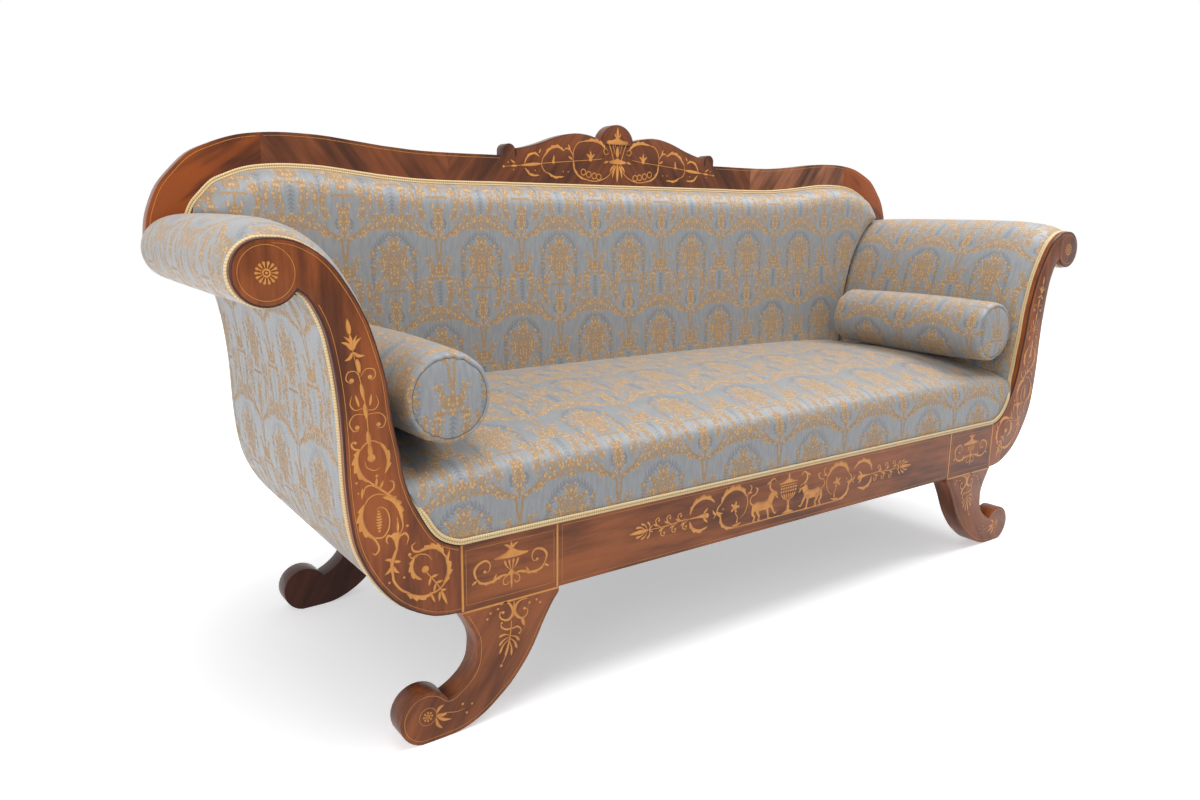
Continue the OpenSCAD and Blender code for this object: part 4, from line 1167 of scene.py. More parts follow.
def facing_strings():
    """The string along both edges of the facing, and the ring round the roundel."""
    line = inset_line(facing_line, 7.5)
    centre = roundel / millimetre
    clear = np.linalg.norm(line - centre, axis=1) > roundel_r / millimetre - 7.8
    turn = np.argmax(np.linalg.norm(facing_line - roundel, axis=1) < roundel_r + 4 * millimetre)
    inner = line[:turn + 2]
    outer = line[len(line) // 2:][clear[len(line) // 2:]]
    outer = outer[outer[:, 1] < centre[1] - 40]
    return string(inner) + string(outer) + hoop(centre, roundel_r / millimetre - 9.5, 0.8, steps=61)


def edge_strings(loop, inset, shown):
    """Strings inside the edge of a board, wherever shown says that the edge is open."""
    closed = evenly(np.vstack([loop, loop[:1]])[::-1], 4 * millimetre)
    line = inset_line(closed, inset)
    gaps = np.linalg.norm(line[:, None, :] - closed[None] / millimetre, axis=2).min(axis=1)
    kept = (gaps > inset - 0.8) & shown(closed, normals(closed))
    runs, run = [], []
    for point, good in [*zip(line, kept), (None, False)]:
        if good:
            run.append(point)
        elif run:
            runs.append(np.array(run))
            run = []
    slips = []
    for run in runs:
        if len(run) > 4:
            slips += string(softened(run, 2))
    return slips


def string_frame(left, bottom, right, top):
    """A rectangle of string."""
    corners = [(left, bottom), (right, bottom), (right, top), (left, top)]
    slips = []
    for start, end in zip(corners, corners[1:] + corners[:1]):
        slips += ribbon([start, end], [0.6, 0.6])
    return slips

# %% Inlay on the boards
block_left = die_low.x / millimetre + 10
block_right = die_high.x / millimetre - 10
frame_bottom = leg_h / millimetre
frame_top = rail_top / millimetre
block_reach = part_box("ear_blocks")[1].x + 6 * millimetre
rail_reach = half_rail / millimetre - 7
post_reach = 180 * millimetre
edge_gap = 6.5
upward = 0.4
arm_slips += facing_strings()
leg_slips += edge_strings(outline("front_leg_right"), edge_gap,
                          lambda points, outward: points[:, 1] < leg_h - 9 * millimetre)
leg_slips += ribbon([(block_left - 9, frame_bottom - 2), (block_right + 9, frame_bottom - 2)], [3.6, 3.6])
block_slips += string_frame(block_left, frame_bottom + 10, block_right, frame_top - 11)
for x in (block_left - 7, block_right + 7):
    block_slips += ribbon([(x, frame_bottom + 1), (x, frame_top - 1)], [4, 4])
rail_slips += ribbon([(-152, 231), (152, 231)], [2.6, 2.6])
rail_slips += string_frame(-rail_reach, frame_bottom + 6, rail_reach, frame_top - 5)
crest_slips += edge_strings(outline("crest_rail"), edge_gap,
                            lambda points, outward: (outward[:, 1] > upward)
                            & (np.abs(points[:, 0]) > block_reach))
post_slips = edge_strings(outline("rear_post_right"), edge_gap,
                          lambda points, outward: ((outward[:, 0] > 0) | (outward[:, 1] > upward))
                          & (points[:, 1] > facing_high.z - post_reach))
for side, turned in (("right", list), ("left", mirrored_slips)):
    laid(f"inlay_arm_{side}", turned(arm_slips), y_front)
    laid(f"inlay_leg_{side}", turned(leg_slips), y_front)
    laid(f"inlay_block_{side}", turned(block_slips), y_front)
    laid(f"inlay_post_{side}", turned(post_slips), y_back)
laid("inlay_rail", rail_slips, y_front)
laid("inlay_crest", crest_slips, y_back)
print("slips of inlay:", 2 * len(arm_slips + leg_slips + block_slips) + len(rail_slips + crest_slips))

# %% [markdown]
# ## A padded surface
# Upholstery is cloth pulled over stuffing and tacked at its border. A cushion could be blown
# up by a cloth simulation, but a tight pad keeps the shape that its maker gave it, so each
# pad is a grid of points on its own curves, with its border tucked under. The grid also
# gives the cloth its flat coordinates, measured along the surface.

# %% From a grid of points to cloth
def spread(*parts):
    """A grid from its coordinates, each given by row, by column or by both."""
    return np.stack(np.broadcast_arrays(*parts), axis=2)


def along_rows(grid):
    """Distance along each row of a grid, averaged over the rows."""
    steps = np.linalg.norm(np.diff(grid, axis=0), axis=2).mean(axis=1)
    return np.concatenate([[0], np.cumsum(steps)])


def grid_mesh(name, grid, flat):
    """A mesh from rows and columns of points, with a flat place for each point."""
    rows, columns = grid.shape[:2]
    faces = [(i * columns + j, i * columns + j + 1, (i + 1) * columns + j + 1, (i + 1) * columns + j)
             for i in range(rows - 1) for j in range(columns - 1)]
    mesh = flat_mesh(name, grid.reshape(-1, 3).tolist(), faces, flat.reshape(-1, 2))
    mesh.shade_smooth()
    return mesh


def soft_piece(name, grid, flat, *replaced):
    """A piece of figured cloth, smoothed once, in the place of soft solids."""
    piece = linked(name, grid_mesh(name, grid, flat), lampas)
    smooth = piece.modifiers.new("smooth", "SUBSURF")
    smooth.levels = smooth.render_levels = 1
    smooth.uv_smooth = "NONE"
    applied(piece)
    fitted(piece, "brocade", *replaced)
    return piece


def both_arms(name, grid, flat, *parts):
    """The same piece for the right and the left arm, as mirror images."""
    rights = [f"{part}_right" for part in parts]
    lefts = [f"{part}_left" for part in parts]
    return (soft_piece(f"{name}_right", grid[:, ::-1], flat[:, ::-1], *rights),
            soft_piece(f"{name}_left", grid * (-1, 1, 1), flat, *lefts))


def lookup(value, table):
    """The value between the pairs of a table."""
    places, values = zip(*table)
    return np.interp(value, places, values)

# %% [markdown]
# ## Arms
# The cloth of an arm comes up the inside of the scroll, over the roll and under it, where it
# is tacked. The stuffing is thin along the gimp at the front and full farther back. The pad
# follows the facing's edge, raised by tables of shares: one along the edge and one in depth.

# %% Arm pads
cloth_t = 1.6 * millimetre
arm_pad = 28 * millimetre
gimp_w = 9 * millimetre
gimp_t = 4 * millimetre
y_cover = y_post + gimp_w
pad_start_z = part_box("arm_cover_right")[0].z
depth_shares = [(0, 0), (0.03, 0.42), (0.09, 0.80), (0.20, 0.94), (0.38, 1), (0.62, 1), (0.84, 0.95),
                (0.95, 0.85), (1, 0.70)]
along_shares = [(0, 0), (0.10, 0.5), (0.20, 1), (0.68, 1.03), (0.74, 0.95), (0.79, 0.62), (0.85, 0.22),
                (0.93, 0.12), (1, 0.15)]


def pad_line():
    """The stretch of the facing's edge that the arm pad follows."""
    turned = facing_line - roundel
    angle = np.degrees(np.arctan2(turned[:, 1], turned[:, 0]))
    near = np.linalg.norm(turned, axis=1) < roundel_r + 2 * millimetre
    last = np.flatnonzero(near & (angle > -140) & (angle < -125))[-1]
    first = np.flatnonzero(facing_line[:, 1] > pad_start_z)[0]
    return facing_line[first:last + 1]


pad_edge = softened(evenly(pad_line(), 11 * millimetre), 2)
pad_normals = normals(pad_edge)
thin_pad = 1.2 * millimetre


def arm_lift(share_along, share_deep):
    full = lookup(share_deep, depth_shares) * lookup(share_along, along_shares)
    return thin_pad + (arm_pad - thin_pad) * full


def arm_grid():
    depths = np.concatenate([[0, 0.01, 0.03, 0.06, 0.10], np.linspace(0.15, 1.0, 34)])
    alongs = np.linspace(0, 1, len(pad_edge))
    lift = softened(softened(arm_lift(alongs[:, None], depths[None, :]), 3).T, 2).T
    tucked = np.full((len(alongs), 2), (0.0, -8.0)) * millimetre
    lift = np.hstack([lift, tucked])
    depths = np.append(depths, (1.0, 1.0))
    section = pad_edge[:, None, :] + pad_normals[:, None, :] * lift[:, :, None]
    y = y_cover + depths * (y_back - y_cover)
    grid = spread(section[..., 0], y, section[..., 1])
    return grid, spread(y, along_rows(grid)[:, None])


arm_points, arm_flat = arm_grid()
for arm in both_arms("arm_pad", arm_points, arm_flat, "arm_cover", "arm_stuffing", "arm_webbing"):
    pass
print("arm pad:", arm_points.shape[:2], "points")

# %% [markdown]
# The outside of an arm is one tight panel from the roll down to the seat rail, flush with the
# facing's edge. It is a sheet stretched over the frame, so it has no stuffing of its own.

# %% Outside panels
outside_loop = outline("arm_outside_right")
outside_low, outside_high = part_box("arm_outside_right")
outside_edge = between(outside_loop, (outside_low.x, outside_low.z - 1),
                       (outside_high.x + 1, outside_high.z))


def outside_grid():
    edge = softened(evenly(outside_edge[::-1], 10 * millimetre), 2)
    depths = np.concatenate([[0, 0.01, 0.03, 0.07], np.linspace(0.12, 0.98, 34), [1.0]])
    rise = lookup(depths, [(0, -0.6), (0.03, 0.4), (0.3, 1), (0.7, 1), (0.98, 0.8), (1, 0.2)]) * cloth_t
    section = edge[:, None, :] + normals(edge)[:, None, :] * rise[None, :, None]
    y = y_cover + depths * (y_rear - y_cover)
    grid = spread(section[..., 0], y, section[..., 1])
    down = along_rows(grid)
    return grid, spread(y, (down[-1] - down)[:, None])


outside_points, outside_flat = outside_grid()
panels = both_arms("outside_panel", outside_points, outside_flat, "arm_outside")

# %% [markdown]
# ## Seat
# The front of the seat is a firm wall of stitched stuffing with a rounded shoulder, and the
# top rises in a shallow crown. A rounded box would leave gaps at the ends, where the seat lies
# against the curved arms. So the rows of a grid go from the gimp up the wall and back over the
# crown, as the cloth does, and each row reaches as far as the arms leave it room.

# %% Seat pad
seat_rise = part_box("seat_cover")[1].z - rail_top
seat_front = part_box("seat_cover")[0].y
seat_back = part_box("seat_cover")[1].y
seat_row_shares = [(0, 0), (0, 0.15), (0, 0.31), (0, 0.50), (0.006, 0.62), (0.02, 0.70), (0.055, 0.765),
                   (0.11, 0.815), (0.22, 0.885), (0.38, 0.965), (0.58, 1), (0.80, 0.985), (1, 0.945)]
crown_shares = [(0, 1), (0.25, 0.998), (0.5, 0.99), (0.7, 0.975), (0.82, 0.95), (0.91, 0.915),
                (0.97, 0.875), (1, 0.84)]


def arm_wall(z, y):
    """How far the inside of the arm is from the middle of the sofa, at a height and a depth."""
    deep = np.clip((y - y_cover) / (y_back - y_cover), 0, 1)
    alongs = np.linspace(0, 1, len(pad_edge))
    lift = np.maximum(gimp_t / 2, arm_lift(alongs, deep))
    wall = pad_edge + pad_normals * lift[:, None]
    below = facing_line[facing_line[:, 1] < pad_edge[0, 1]]
    below = below[:np.argmax(below[:, 1])]
    below = below + normals(below) * gimp_t / 2
    rising = np.concatenate([below, wall[:len(wall) // 2]])
    return np.interp(z, rising[:, 1], rising[:, 0])


seat_shift = (72 * millimetre, rail_top - 45 * millimetre)


def seat_grid():
    rows = softened(evenly(seat_row_shares, 0.028), 1)
    columns = np.sin(np.linspace(-1, 1, 111) * math.pi / 2) * 0.35 + np.linspace(-1, 1, 111) * 0.65
    grid = np.zeros((len(rows), len(columns), 3))
    for i, (deep, high) in enumerate(rows):
        y = seat_front + deep * (seat_back - seat_front)
        z = rail_top + seat_rise * high * lookup(np.abs(columns), crown_shares)
        reach = arm_wall(z[-1], y) - 1.0 * millimetre
        grid[i] = np.stack([columns * reach, np.full_like(z, y), z], axis=1)
    run = along_rows(grid)
    return grid, spread(grid[..., 0] - seat_shift[0], (run + seat_shift[1])[:, None])


seat_points, seat_flat = seat_grid()
seat = soft_piece("seat_pad", seat_points, seat_flat, "seat_cover", "seat_stuffing", "seat_hessian")
print("seat pad:", seat_points.shape[:2], "points")

# %% [markdown]
# ## Back
# The back is one flat pad. Its border follows the gimp over the top and the arms at the
# sides, and it goes down behind the seat. Here a fill of triangles inside the border is used,
# because the border has corners that a grid of rows would bend. Each point stands forward by
# its distance from the border.

# %% Border of the back
back_low, back_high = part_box("back_cover")
back_pad = y_back - back_low.y
gimp_loop = outline("back_gimp")
gimp_tip_z = gimp_loop[:, 1].min()


def gimp_band():
    """Outer and inner edge of the gimp round the back, from right to left."""
    right = gimp_loop[(gimp_loop[:, 1] < gimp_tip_z + gimp_w) & (gimp_loop[:, 0] > 0)]
    right = right[np.argsort(right[:, 0])]
    outer = between(gimp_loop, right[-1], right[-1] * (-1, 1))
    inner = between(gimp_loop, right[0] * (-1, 1), right[0])[::-1]
    return outer, inner


gimp_outer, gimp_inner = gimp_band()
print("gimp edges:", len(gimp_outer), len(gimp_inner))


def back_border():
    """Border of the back pad: right side beside the arm, top under the gimp, and left side."""
    arm_side = pad_edge + pad_normals * arm_lift(np.linspace(0, 1, len(pad_edge)), 1.0)[:, None]
    arm_side = arm_side[:np.argmax(arm_side[:, 0] > gimp_inner[0][0])]
    arm_side = arm_side[arm_side[:, 1] > back_low.z + 10 * millimetre] + (4 * millimetre, 0)
    right = np.concatenate([[(arm_side[0][0], back_low.z)], arm_side])
    left = (right * (-1, 1))[::-1]
    top = gimp_inner[np.abs(gimp_inner[:, 0]) < arm_side[-1][0] - 1 * millimetre]
    return right, top, left

# %% A border filled with triangles
def inside(points, border):
    """Which points lie inside a closed border."""
    x, z = points[:, 0:1], points[:, 1:2]
    ax, az = border[None, :, 0], border[None, :, 1]
    bx, bz = np.roll(border[:, 0], -1)[None], np.roll(border[:, 1], -1)[None]
    height = np.where(bz == az, 1e-9, bz - az)
    crosses = ((az > z) != (bz > z)) & (x < (bx - ax) * (z - az) / height + ax)
    return crosses.sum(axis=1) % 2 == 1


def edge_distance(points, line):
    """Distance from each point to the nearest part of a line."""
    start, run = line[:-1], np.diff(line, axis=0)
    away = points[:, None, :] - start[None]
    share = np.clip((away * run).sum(2) / np.maximum((run * run).sum(1), 1e-12), 0, 1)
    return np.linalg.norm(away - share[..., None] * run, axis=2).min(axis=1)


def filled(name, border, spacing, depth, finish):
    """A flat border filled with an even net of points, each moved to the depth given for it."""
    low, high = border.min(axis=0), border.max(axis=0)
    columns = np.arange(low[0], high[0], spacing)
    rows = np.arange(low[1], high[1], spacing)
    net = np.stack(np.meshgrid(columns, rows), axis=2).reshape(-1, 2)
    net = net[inside(net, border)]
    closed = np.vstack([border, border[:1]])
    net = net[edge_distance(net, closed) > spacing * 0.45]
    points = np.vstack([border, net])
    edges = [(i, (i + 1) % len(border)) for i in range(len(border))]
    result = delaunay_2d_cdt([Vector(p) for p in points], edges, [], 1, 1e-6)
    flat = np.array([tuple(v) for v in result[0]])
    points = np.stack([flat[:, 0], depth(flat), flat[:, 1]], axis=1)
    mesh = flat_mesh(name, points.tolist(), result[2], flat - (0, pattern_top))
    mesh.shade_smooth()
    return linked(name, mesh, finish)

# %% Back pad
right_side, top_side, left_side = back_border()
back_edge = np.vstack([right_side, top_side, left_side])
back_edge = evenly(np.vstack([back_edge, back_edge[:1]]), 10 * millimetre)[:-1]
tacked = np.vstack([right_side[1:], top_side, left_side[:-1]])
fullness = [(0, 1.08), (0.1, 1.15), (0.3, 1.10), (0.6, 1.0), (1, 0.96)]
edge_round = 55 * millimetre
back_rim = 3 * millimetre
back_crown = 0.92
pattern_top = 0.821


def back_depth(flat):
    near = np.clip(edge_distance(flat, tacked) / edge_round, 0, 1)
    height = (flat[:, 1] - back_low.z) / (back_high.z - back_low.z)
    proud = np.sqrt(1 - (1 - near) ** 2.4) * lookup(height, fullness)
    return y_back - back_rim - (back_pad - back_rim) * back_crown * proud


back = filled("back_pad", back_edge, 11 * millimetre, back_depth, lampas)
fitted(back, "brocade", "back_cover", "back_stuffing", "back_webbing")
print("back pad:", len(back.data.vertices), "points")

# %% [markdown]
# ## Outside back and dust cover
# Nobody sees the outside of the back when the sofa stands at a wall, so it has a plain black
# lining, tacked to the posts and rails. The same lining closes the seat from below. Both could
# be flat, but cloth that is tacked only at its border sags a little, so its middle is moved.

# %% Linings
outside_back_loop = outline("back_outside", rear=True)
outside_back_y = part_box("back_outside")[1].y


def lining_sag(flat):
    near = np.clip(edge_distance(flat, outside_back_loop) / (120 * millimetre), 0, 1)
    return outside_back_y - near * 1.5 * millimetre


outside_back_edge = evenly(np.vstack([outside_back_loop, outside_back_loop[:1]]), 12 * millimetre)[:-1]
outside_back = filled("outside_back", outside_back_edge, 16 * millimetre, lining_sag, lining)
outside_back.data.flip_normals()
fitted(outside_back, "black_cloth", "back_outside")
dust_low, dust_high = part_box("dust_cover")


def dust_grid():
    across, deep = np.linspace(0, 1, 61), np.linspace(0, 1, 25)
    x = dust_low.x + across * (dust_high.x - dust_low.x)
    y = dust_low.y + deep * (dust_high.y - dust_low.y)
    sag = np.outer(np.sin(across * math.pi), np.sin(deep * math.pi)) ** 0.5 * 2 * millimetre
    grid = spread(x[:, None], y, dust_high.z - sag)
    return grid, grid[..., :2]


dust = linked("dust_lining", grid_mesh("dust_lining", *dust_grid()), lining)
fitted(dust, "black_cloth", "dust_cover")

# %% [markdown]
# ## Webbing
# Under the springs, jute straps are woven over and under each other and tacked to the rails.
# A flat sheet would hide the springs from below, so each strap is made, with its small waves.

# %% Seat straps
web_low, web_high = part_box("seat_webbing")
strap_w = 50 * millimetre


def woven_straps(name, along_x, count, crossing, span, length):
    """Straps side by side that pass over and under the straps that cross them."""
    points, faces, flat = [], [], []
    places = np.linspace(-length / 2, length / 2, 121)
    wave = np.cos(((places / length + 0.5) * crossing - 0.5) * math.pi)
    for k in range(count):
        offset = -span / 2 + span * (k + 0.5) / count
        lifts = wave * web_lift * (1 if (k % 2 == 0) == along_x else -1)
        base = len(points)
        for place, lift in zip(places, lifts):
            for side in (offset - strap_w / 2, offset, offset + strap_w / 2):
                x, y = (place, side) if along_x else (side, place)
                points.append((web_middle.x + x, web_middle.y + y, web_middle.z + lift))
                flat.append((place, side))
        faces += [(base + i * 3 + j, base + i * 3 + j + 1, base + i * 3 + j + 4, base + i * 3 + j + 3)
                  for i in range(len(places) - 1) for j in (0, 1)]
    mesh = flat_mesh(name, points, faces, flat)
    mesh.shade_smooth()
    return linked(name, mesh, jute)


web_lift = 0.9 * millimetre
web_middle = (web_low + web_high) / 2
web_size = web_high - web_low
for name, along_x, count, crossing in (("straps_across", False, 11, 5), ("straps_along", True, 5, 11)):
    span, length = (web_size.y * 0.86, web_size.x) if along_x else (web_size.x * 0.96, web_size.y)
    straps = woven_straps(name, along_x, count, crossing, span, length)
    fitted(straps, "jute", "seat_webbing")
print("seat straps woven")

# %% [markdown]
# ## Bolsters
# A bolster is a tube of cloth with a round end sewn into each mouth. It could be a cylinder,
# but a filled one swells a little between its ends, the seam draws its cloth into small
# puckers, and the ends are slightly domed. So it is turned from a profile, the puckers are
# pressed into it, and a thin thread is laid into each seam.

# %% Profile of a bolster
bolster_low, bolster_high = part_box("bolster_cover_right")
bolster_middle = (bolster_low + bolster_high) / 2
bolster_r = (bolster_high.z - bolster_low.z) / 2
bolster_half = (bolster_high.y - bolster_low.y) / 2
bolster_dome = 6 * millimetre
cap_shares = [(0.0, 0.0), (0.12, 0.02), (0.28, 0.10), (0.42, 0.24), (0.55, 0.44), (0.66, 0.66),
              (0.75, 0.90), (0.81, 1.1), (0.835, 1.3)]
seam_shares = [(0.845, 1.52), (0.853, 1.38)]
shoulder_shares = [(0.868, 1.16), (0.900, 1.22), (0.935, 1.60), (0.962, 2.3), (0.978, 3.4)]
turns = np.linspace(0, math.tau, 161)


def bolster_profile():
    """Radius and place of each row from one end to the other, and which rows are the ends."""
    turned = [(share * bolster_r, bolster_half - drop * bolster_dome)
              for share, drop in cap_shares + seam_shares + shoulder_shares]
    side = [(bolster_r * (0.985 + 0.050 * math.cos(share * math.pi / 2)), bolster_half * 0.86 * share)
            for share in np.linspace(0.98, 0, 22)]
    half = np.array(turned + side)
    cap = np.arange(len(half)) <= len(cap_shares)
    other = (half * (1, -1))[::-1][1:]
    return np.vstack([half, other]), np.concatenate([cap, cap[::-1][1:]])[:, None]


def puckers():
    """Small folds that the seam draws in, deeper at some places round the end."""
    folds = 0.5 + 0.5 * np.cos(turns * 17 + 2.2 * np.sin(turns * 3) + 1.1 * np.sin(turns * 5))
    depth = 0.15 + 0.85 * (0.5 + 0.5 * np.sin(turns * 2 + 2.2)) ** 2
    return folds * depth


def turned_round(radius, place, cap):
    """The profile turned once round: how far out and how far along each point is."""
    seam_r = seam_shares[0][0] * bolster_r
    seam_y = bolster_half - seam_shares[0][1] * bolster_dome
    from_seam = np.hypot(radius - seam_r, (np.abs(place) - seam_y) * 0.6)
    fold = puckers() * np.exp(-(from_seam / (14 * millimetre)) ** 2)
    fold = np.where(radius > seam_r * 0.5, fold, 0)
    along = place - np.sign(place) * fold * np.where(cap, 2.0, 1.2) * millimetre
    wide = radius - fold * np.where(cap, 0.8, 2.8) * millimetre
    sag = 1 - 0.010 * (0.5 + 0.5 * np.sin(2 * turns + place * 9)) * (radius / bolster_r)
    return wide * sag, along


profile, cap = bolster_profile()
radius, place = profile[:, 0:1], profile[:, 1:2]
wide, along = turned_round(radius, place, cap)
print("bolster's ends reach out by", round(float(np.abs(along).max()), 3))

# %% Bolsters
def swept(points, sides, outs, section):
    """Points of a tube along a line; section gives (side, out) places round it."""
    grid = (points[:, None, :] + sides[:, None, :] * section[None, :, 0:1]
            + outs[:, None, :] * section[None, :, 1:2])
    return grid, spread(along_rows(points[:, None, :])[:, None], np.linspace(0, 1, len(section)))


def round_section(side, radius, corners=10):
    angles = np.linspace(0, math.tau, corners + 1)
    return np.stack([side + np.cos(angles) * radius, np.sin(angles) * radius], axis=1)


def bolster_cloth(side, middle, x, y, z, flat):
    """The cloth of a bolster, closed where the profile meets itself."""
    grid = spread(middle[0] + x, middle[1] + y, middle[2] + z)
    piece = linked(f"bolster_{side}_cloth", grid_mesh(f"bolster_{side}", grid, flat), lampas)
    shape = bmesh.new()
    shape.from_mesh(piece.data)
    bmesh.ops.remove_doubles(shape, verts=shape.verts, dist=1e-5)
    bmesh.ops.recalc_face_normals(shape, faces=shape.faces)
    shape.to_mesh(piece.data)
    shape.free()
    fitted(piece, "brocade", f"bolster_cover_{side}", f"bolster_core_{side}", body=f"bolster_{side}")
    return grid


def bolster_seam(side, end, edge, middle):
    """The thread in the seam round one end."""
    outs = (edge - middle) * (1, 0, 1)
    outs = outs / np.linalg.norm(outs, axis=1)[:, None]
    sides = np.tile((0.0, 1.0, 0.0), (len(edge), 1))
    tube, flat = swept(edge, sides, outs, round_section(0, 0.6 * millimetre, 6))
    seam = linked(f"bolster_{side}_seam_{end}", grid_mesh(f"seam_{side}_{end}", tube, flat), thread)
    fitted(seam, "brocade", body=f"bolster_{side}")


side_shift = 100 * millimetre
end_shift = repeat_width / 2 * millimetre
side_flat = spread(place + side_shift, turns * bolster_r)
for side, sign in (("right", 1), ("left", -1)):
    middle = np.array((sign * bolster_middle.x, bolster_middle.y, bolster_middle.z + 2 * millimetre))
    x = sign * wide * np.sin(turns)
    z = wide * np.cos(turns)
    flat = np.where(cap[:, :, None], spread(x + end_shift, z - side_shift), side_flat)
    grid = bolster_cloth(side, middle, x, along, z, flat)
    bolster_seam(side, "front", grid[-1 - len(cap_shares)], middle)
    bolster_seam(side, "rear", grid[len(cap_shares)], middle)
print("bolsters:", round(bolster_r * 2, 3), "by", round(bolster_half * 2, 3))

# %% [markdown]
# ## Gimp
# The gimp hides the tacks along the wood. It is two cords sewn side by side with a flat
# golden braid between them. A flat band with drawn cords would show no rounded edge against
# the light, so each cord is a tube that is swept along the edge that it covers.

# %% Double cords
def gimp(name, points, sides, outs, node):
    """A double cord centred on a line of points, wide along sides and proud along outs."""
    cord_r = 2.5 * millimetre
    groove = np.array([(-1.5, -0.6), (0, 0.35), (1.5, -0.6)]) * cord_r
    parts = (("0", round_section(-cord_r, cord_r), gimp_cord),
             ("1", round_section(cord_r, cord_r), gimp_cord), ("groove", groove, gimp_groove))
    for label, section, finish in parts:
        mesh = grid_mesh(f"{name}_{label}", *swept(points, sides, outs, section))
        fitted(linked(f"{name}_{label}", mesh, finish), "gimp", node)


def lifted(flat, y):
    return np.stack([flat[:, 0], np.full(len(flat), y), flat[:, 1]], axis=1)


def band_frames(line):
    """Directions across a band that lies in the front plane, and out of that plane."""
    across = normals(line)
    sides = np.stack([across[:, 0], across[:, 0] * 0, across[:, 1]], axis=1)
    outs = np.tile((0.0, -1.0, 0.0), (len(line), 1))
    return sides, outs


def midway(first, second, count):
    """The line halfway between two edges of a band."""
    return softened((resampled(first, count) + resampled(second, count)) / 2, 1)

# %% Gimp of the back
back_line = midway(gimp_outer, gimp_inner, 420)
back_lift = 1.2 * millimetre
gimp("back_gimp", lifted(back_line, y_back - back_lift), *band_frames(back_line), "back_gimp")

print("gimp of the back:", len(back_line), "points")

# %% Gimp of the seat
seat_gimp_loop = outline("seat_gimp")
tip_high = seat_gimp_loop[:, 1].max()
tips = seat_gimp_loop[seat_gimp_loop[:, 1] > tip_high - gimp_w / 2]
tips = tips[np.argsort(tips[:, 0])]
seat_gimp_outer = between(seat_gimp_loop, tips[0], tips[-1])
seat_gimp_inner = between(seat_gimp_loop, tips[-2], tips[1])[::-1]
seat_line = midway(seat_gimp_outer, seat_gimp_inner, 400)


def eased_tips(line, plane, reach):
    """The seat gimp, led round the facing's edge onto the arm gimps at its tips."""
    points, (sides, outs) = lifted(line, plane), band_frames(line)
    run = along_rows(line[:, None, :])
    left = np.clip(1 - np.minimum(run, run[-1] - run) / reach, 0, 1)
    share = (left * left * (3 - 2 * left))[:, None]
    half_edge = evenly(facing_edge, 2 * millimetre)
    edge = np.vstack([half_edge, half_edge * (-1, 1)])
    nearest = edge[np.linalg.norm(line[:, None] - edge[None], axis=2).argmin(axis=1)]
    target = lifted(nearest, y_post + gimp_w / 2)
    inward = lifted(line - nearest, 0)
    inward = inward / np.linalg.norm(inward, axis=1)[:, None]
    turned = np.sign(sides[:, 0:1] * inward[:, 0:1]) * (0.0, 1.0, 0.0)
    return (points * (1 - share) + target * share, sides * (1 - share) + turned * share,
            outs * (1 - share) + inward * share)


seat_sink = 1.6 * millimetre
tip_reach = 70 * millimetre
gimp("seat_gimp", *eased_tips(seat_line, y_front + seat_sink, tip_reach), "seat_gimp")
print("gimp of the seat:", len(seat_line), "points")

# %% Gimp of the arms
wrap_line = softened(evenly(facing_edge, 5 * millimetre), 1)
wrap_line = wrap_line[wrap_line[:, 0] > joint_x + 2 * millimetre]
for side, sign in (("right", 1), ("left", -1)):
    line = wrap_line * (sign, 1)
    across = normals(line) * sign
    sides = np.tile((0.0, 1.0, 0.0), (len(line), 1))
    outs = np.stack([across[:, 0], across[:, 0] * 0, across[:, 1]], axis=1)
    gimp(f"arm_gimp_{side}", lifted(line, y_post + gimp_w / 2), sides, outs, f"arm_gimp_{side}")
runs = [float(along_rows(line[:, None, :])[-1]) for line in (back_line, seat_line, wrap_line)]
print("gimp in metres:", round(runs[0] + runs[1] + 2 * runs[2], 2))

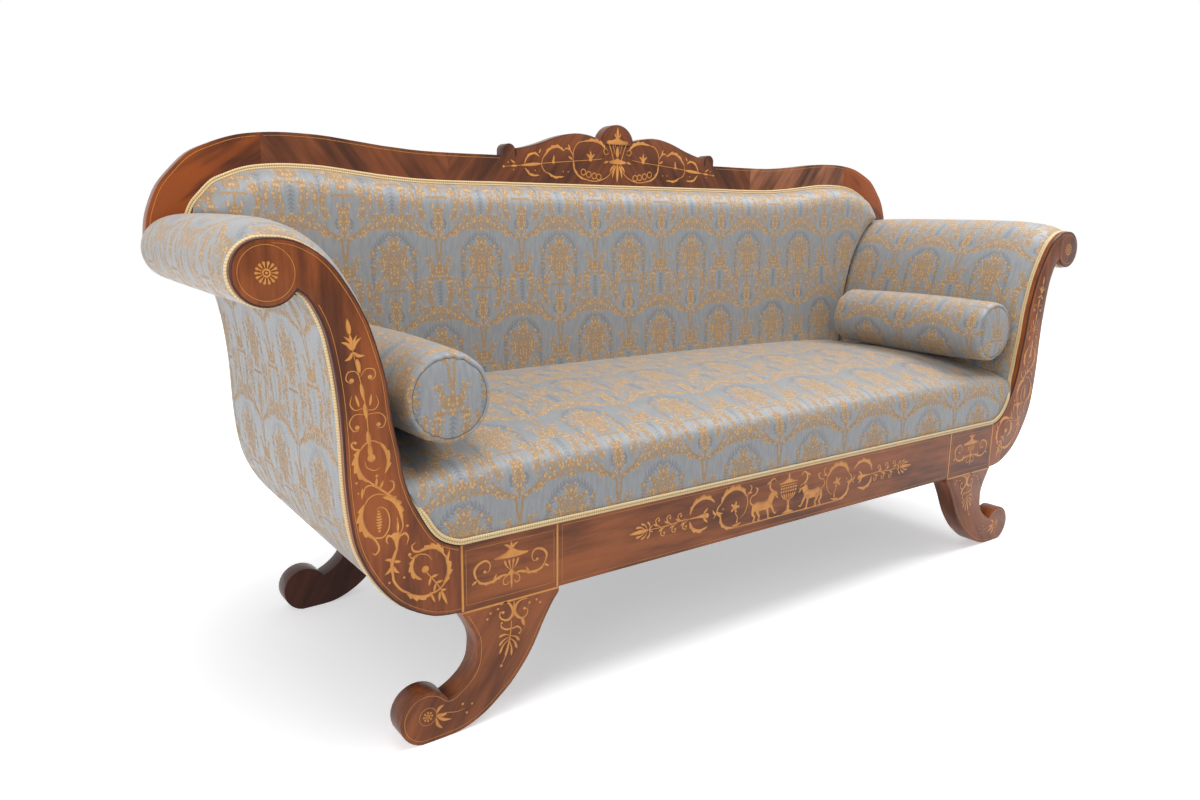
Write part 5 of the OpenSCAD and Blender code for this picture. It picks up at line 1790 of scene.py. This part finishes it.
# %% [markdown]
# ## Floor and light
# The sofa stands on a pale floor in soft light: two large lamps overhead, a small one at the
# left like a window, and an even fill. The floor keeps the shadow, but it looks whiter away
# from the sofa, so that it meets the white background without an edge.

# %% Floor
def seen_directly(tree):
    """1 where the camera sees a surface, also in a reflection, and 0 where light only falls."""
    ray = tree.nodes.new("ShaderNodeLightPath")
    seen = Value(tree, ray.outputs["Is Camera Ray"]).highest(Value(tree, ray.outputs["Is Glossy Ray"]))
    return seen.highest(Value(tree, ray.outputs["Is Transmission Ray"]))


def floor_finish():
    made, tree, shader = material("floor", roughness=0.95, specular_ior_level=0.1)
    shader.inputs["Base Color"].default_value = colour(0.78, 0.78, 0.80)
    shader.inputs["Emission Color"].default_value = colour(1, 1, 1)
    far = surface_place(tree).stretched(0.8, 1.3).length().step(0.5, 1.9)
    (seen_directly(tree) * (0.42 + far * 0.6)).feeds(shader.inputs["Emission Strength"])
    return made


floor_mesh = bpy.data.meshes.new("floor")
floor_mesh.from_pydata([(-6, -6, 0), (6, -6, 0), (6, 6, 0), (-6, 6, 0)], [], [(0, 1, 2, 3)])
floor = linked("floor", floor_mesh, floor_finish())
print("floor:", floor.name)

# %% Lamps and fill
def lamp(name, place, target, size, power):
    data = bpy.data.lights.new(name, "AREA")
    data.shape = "RECTANGLE"
    data.size, data.size_y = size
    data.energy = power
    one = bpy.data.objects.new(name, data)
    bpy.context.scene.collection.objects.link(one)
    one.location = place
    one.rotation_euler = (Vector(target) - Vector(place)).to_track_quat("-Z", "Y").to_euler()


lamp("overhead right", (1.7, -0.45, 2.8), (0.1, -0.1, 0.3), (1.5, 1.2), 58)
lamp("overhead left", (-0.8, -0.45, 2.6), (-0.2, -0.1, 0.3), (1.3, 1.2), 24)
lamp("window", (-2.3, -0.95, 0.95), (-1.1, 0, 0.55), (1.2, 1.0), 15)
world = bpy.data.worlds.new("room")
bpy.context.scene.world = world
world.use_nodes = True
background = world.node_tree.nodes["Background"]
background.inputs["Color"].default_value = colour(1, 1, 1)
(0.42 + seen_directly(world.node_tree) * 0.58).feeds(background.inputs["Strength"])
bpy.context.scene.view_settings.view_transform = "Standard"
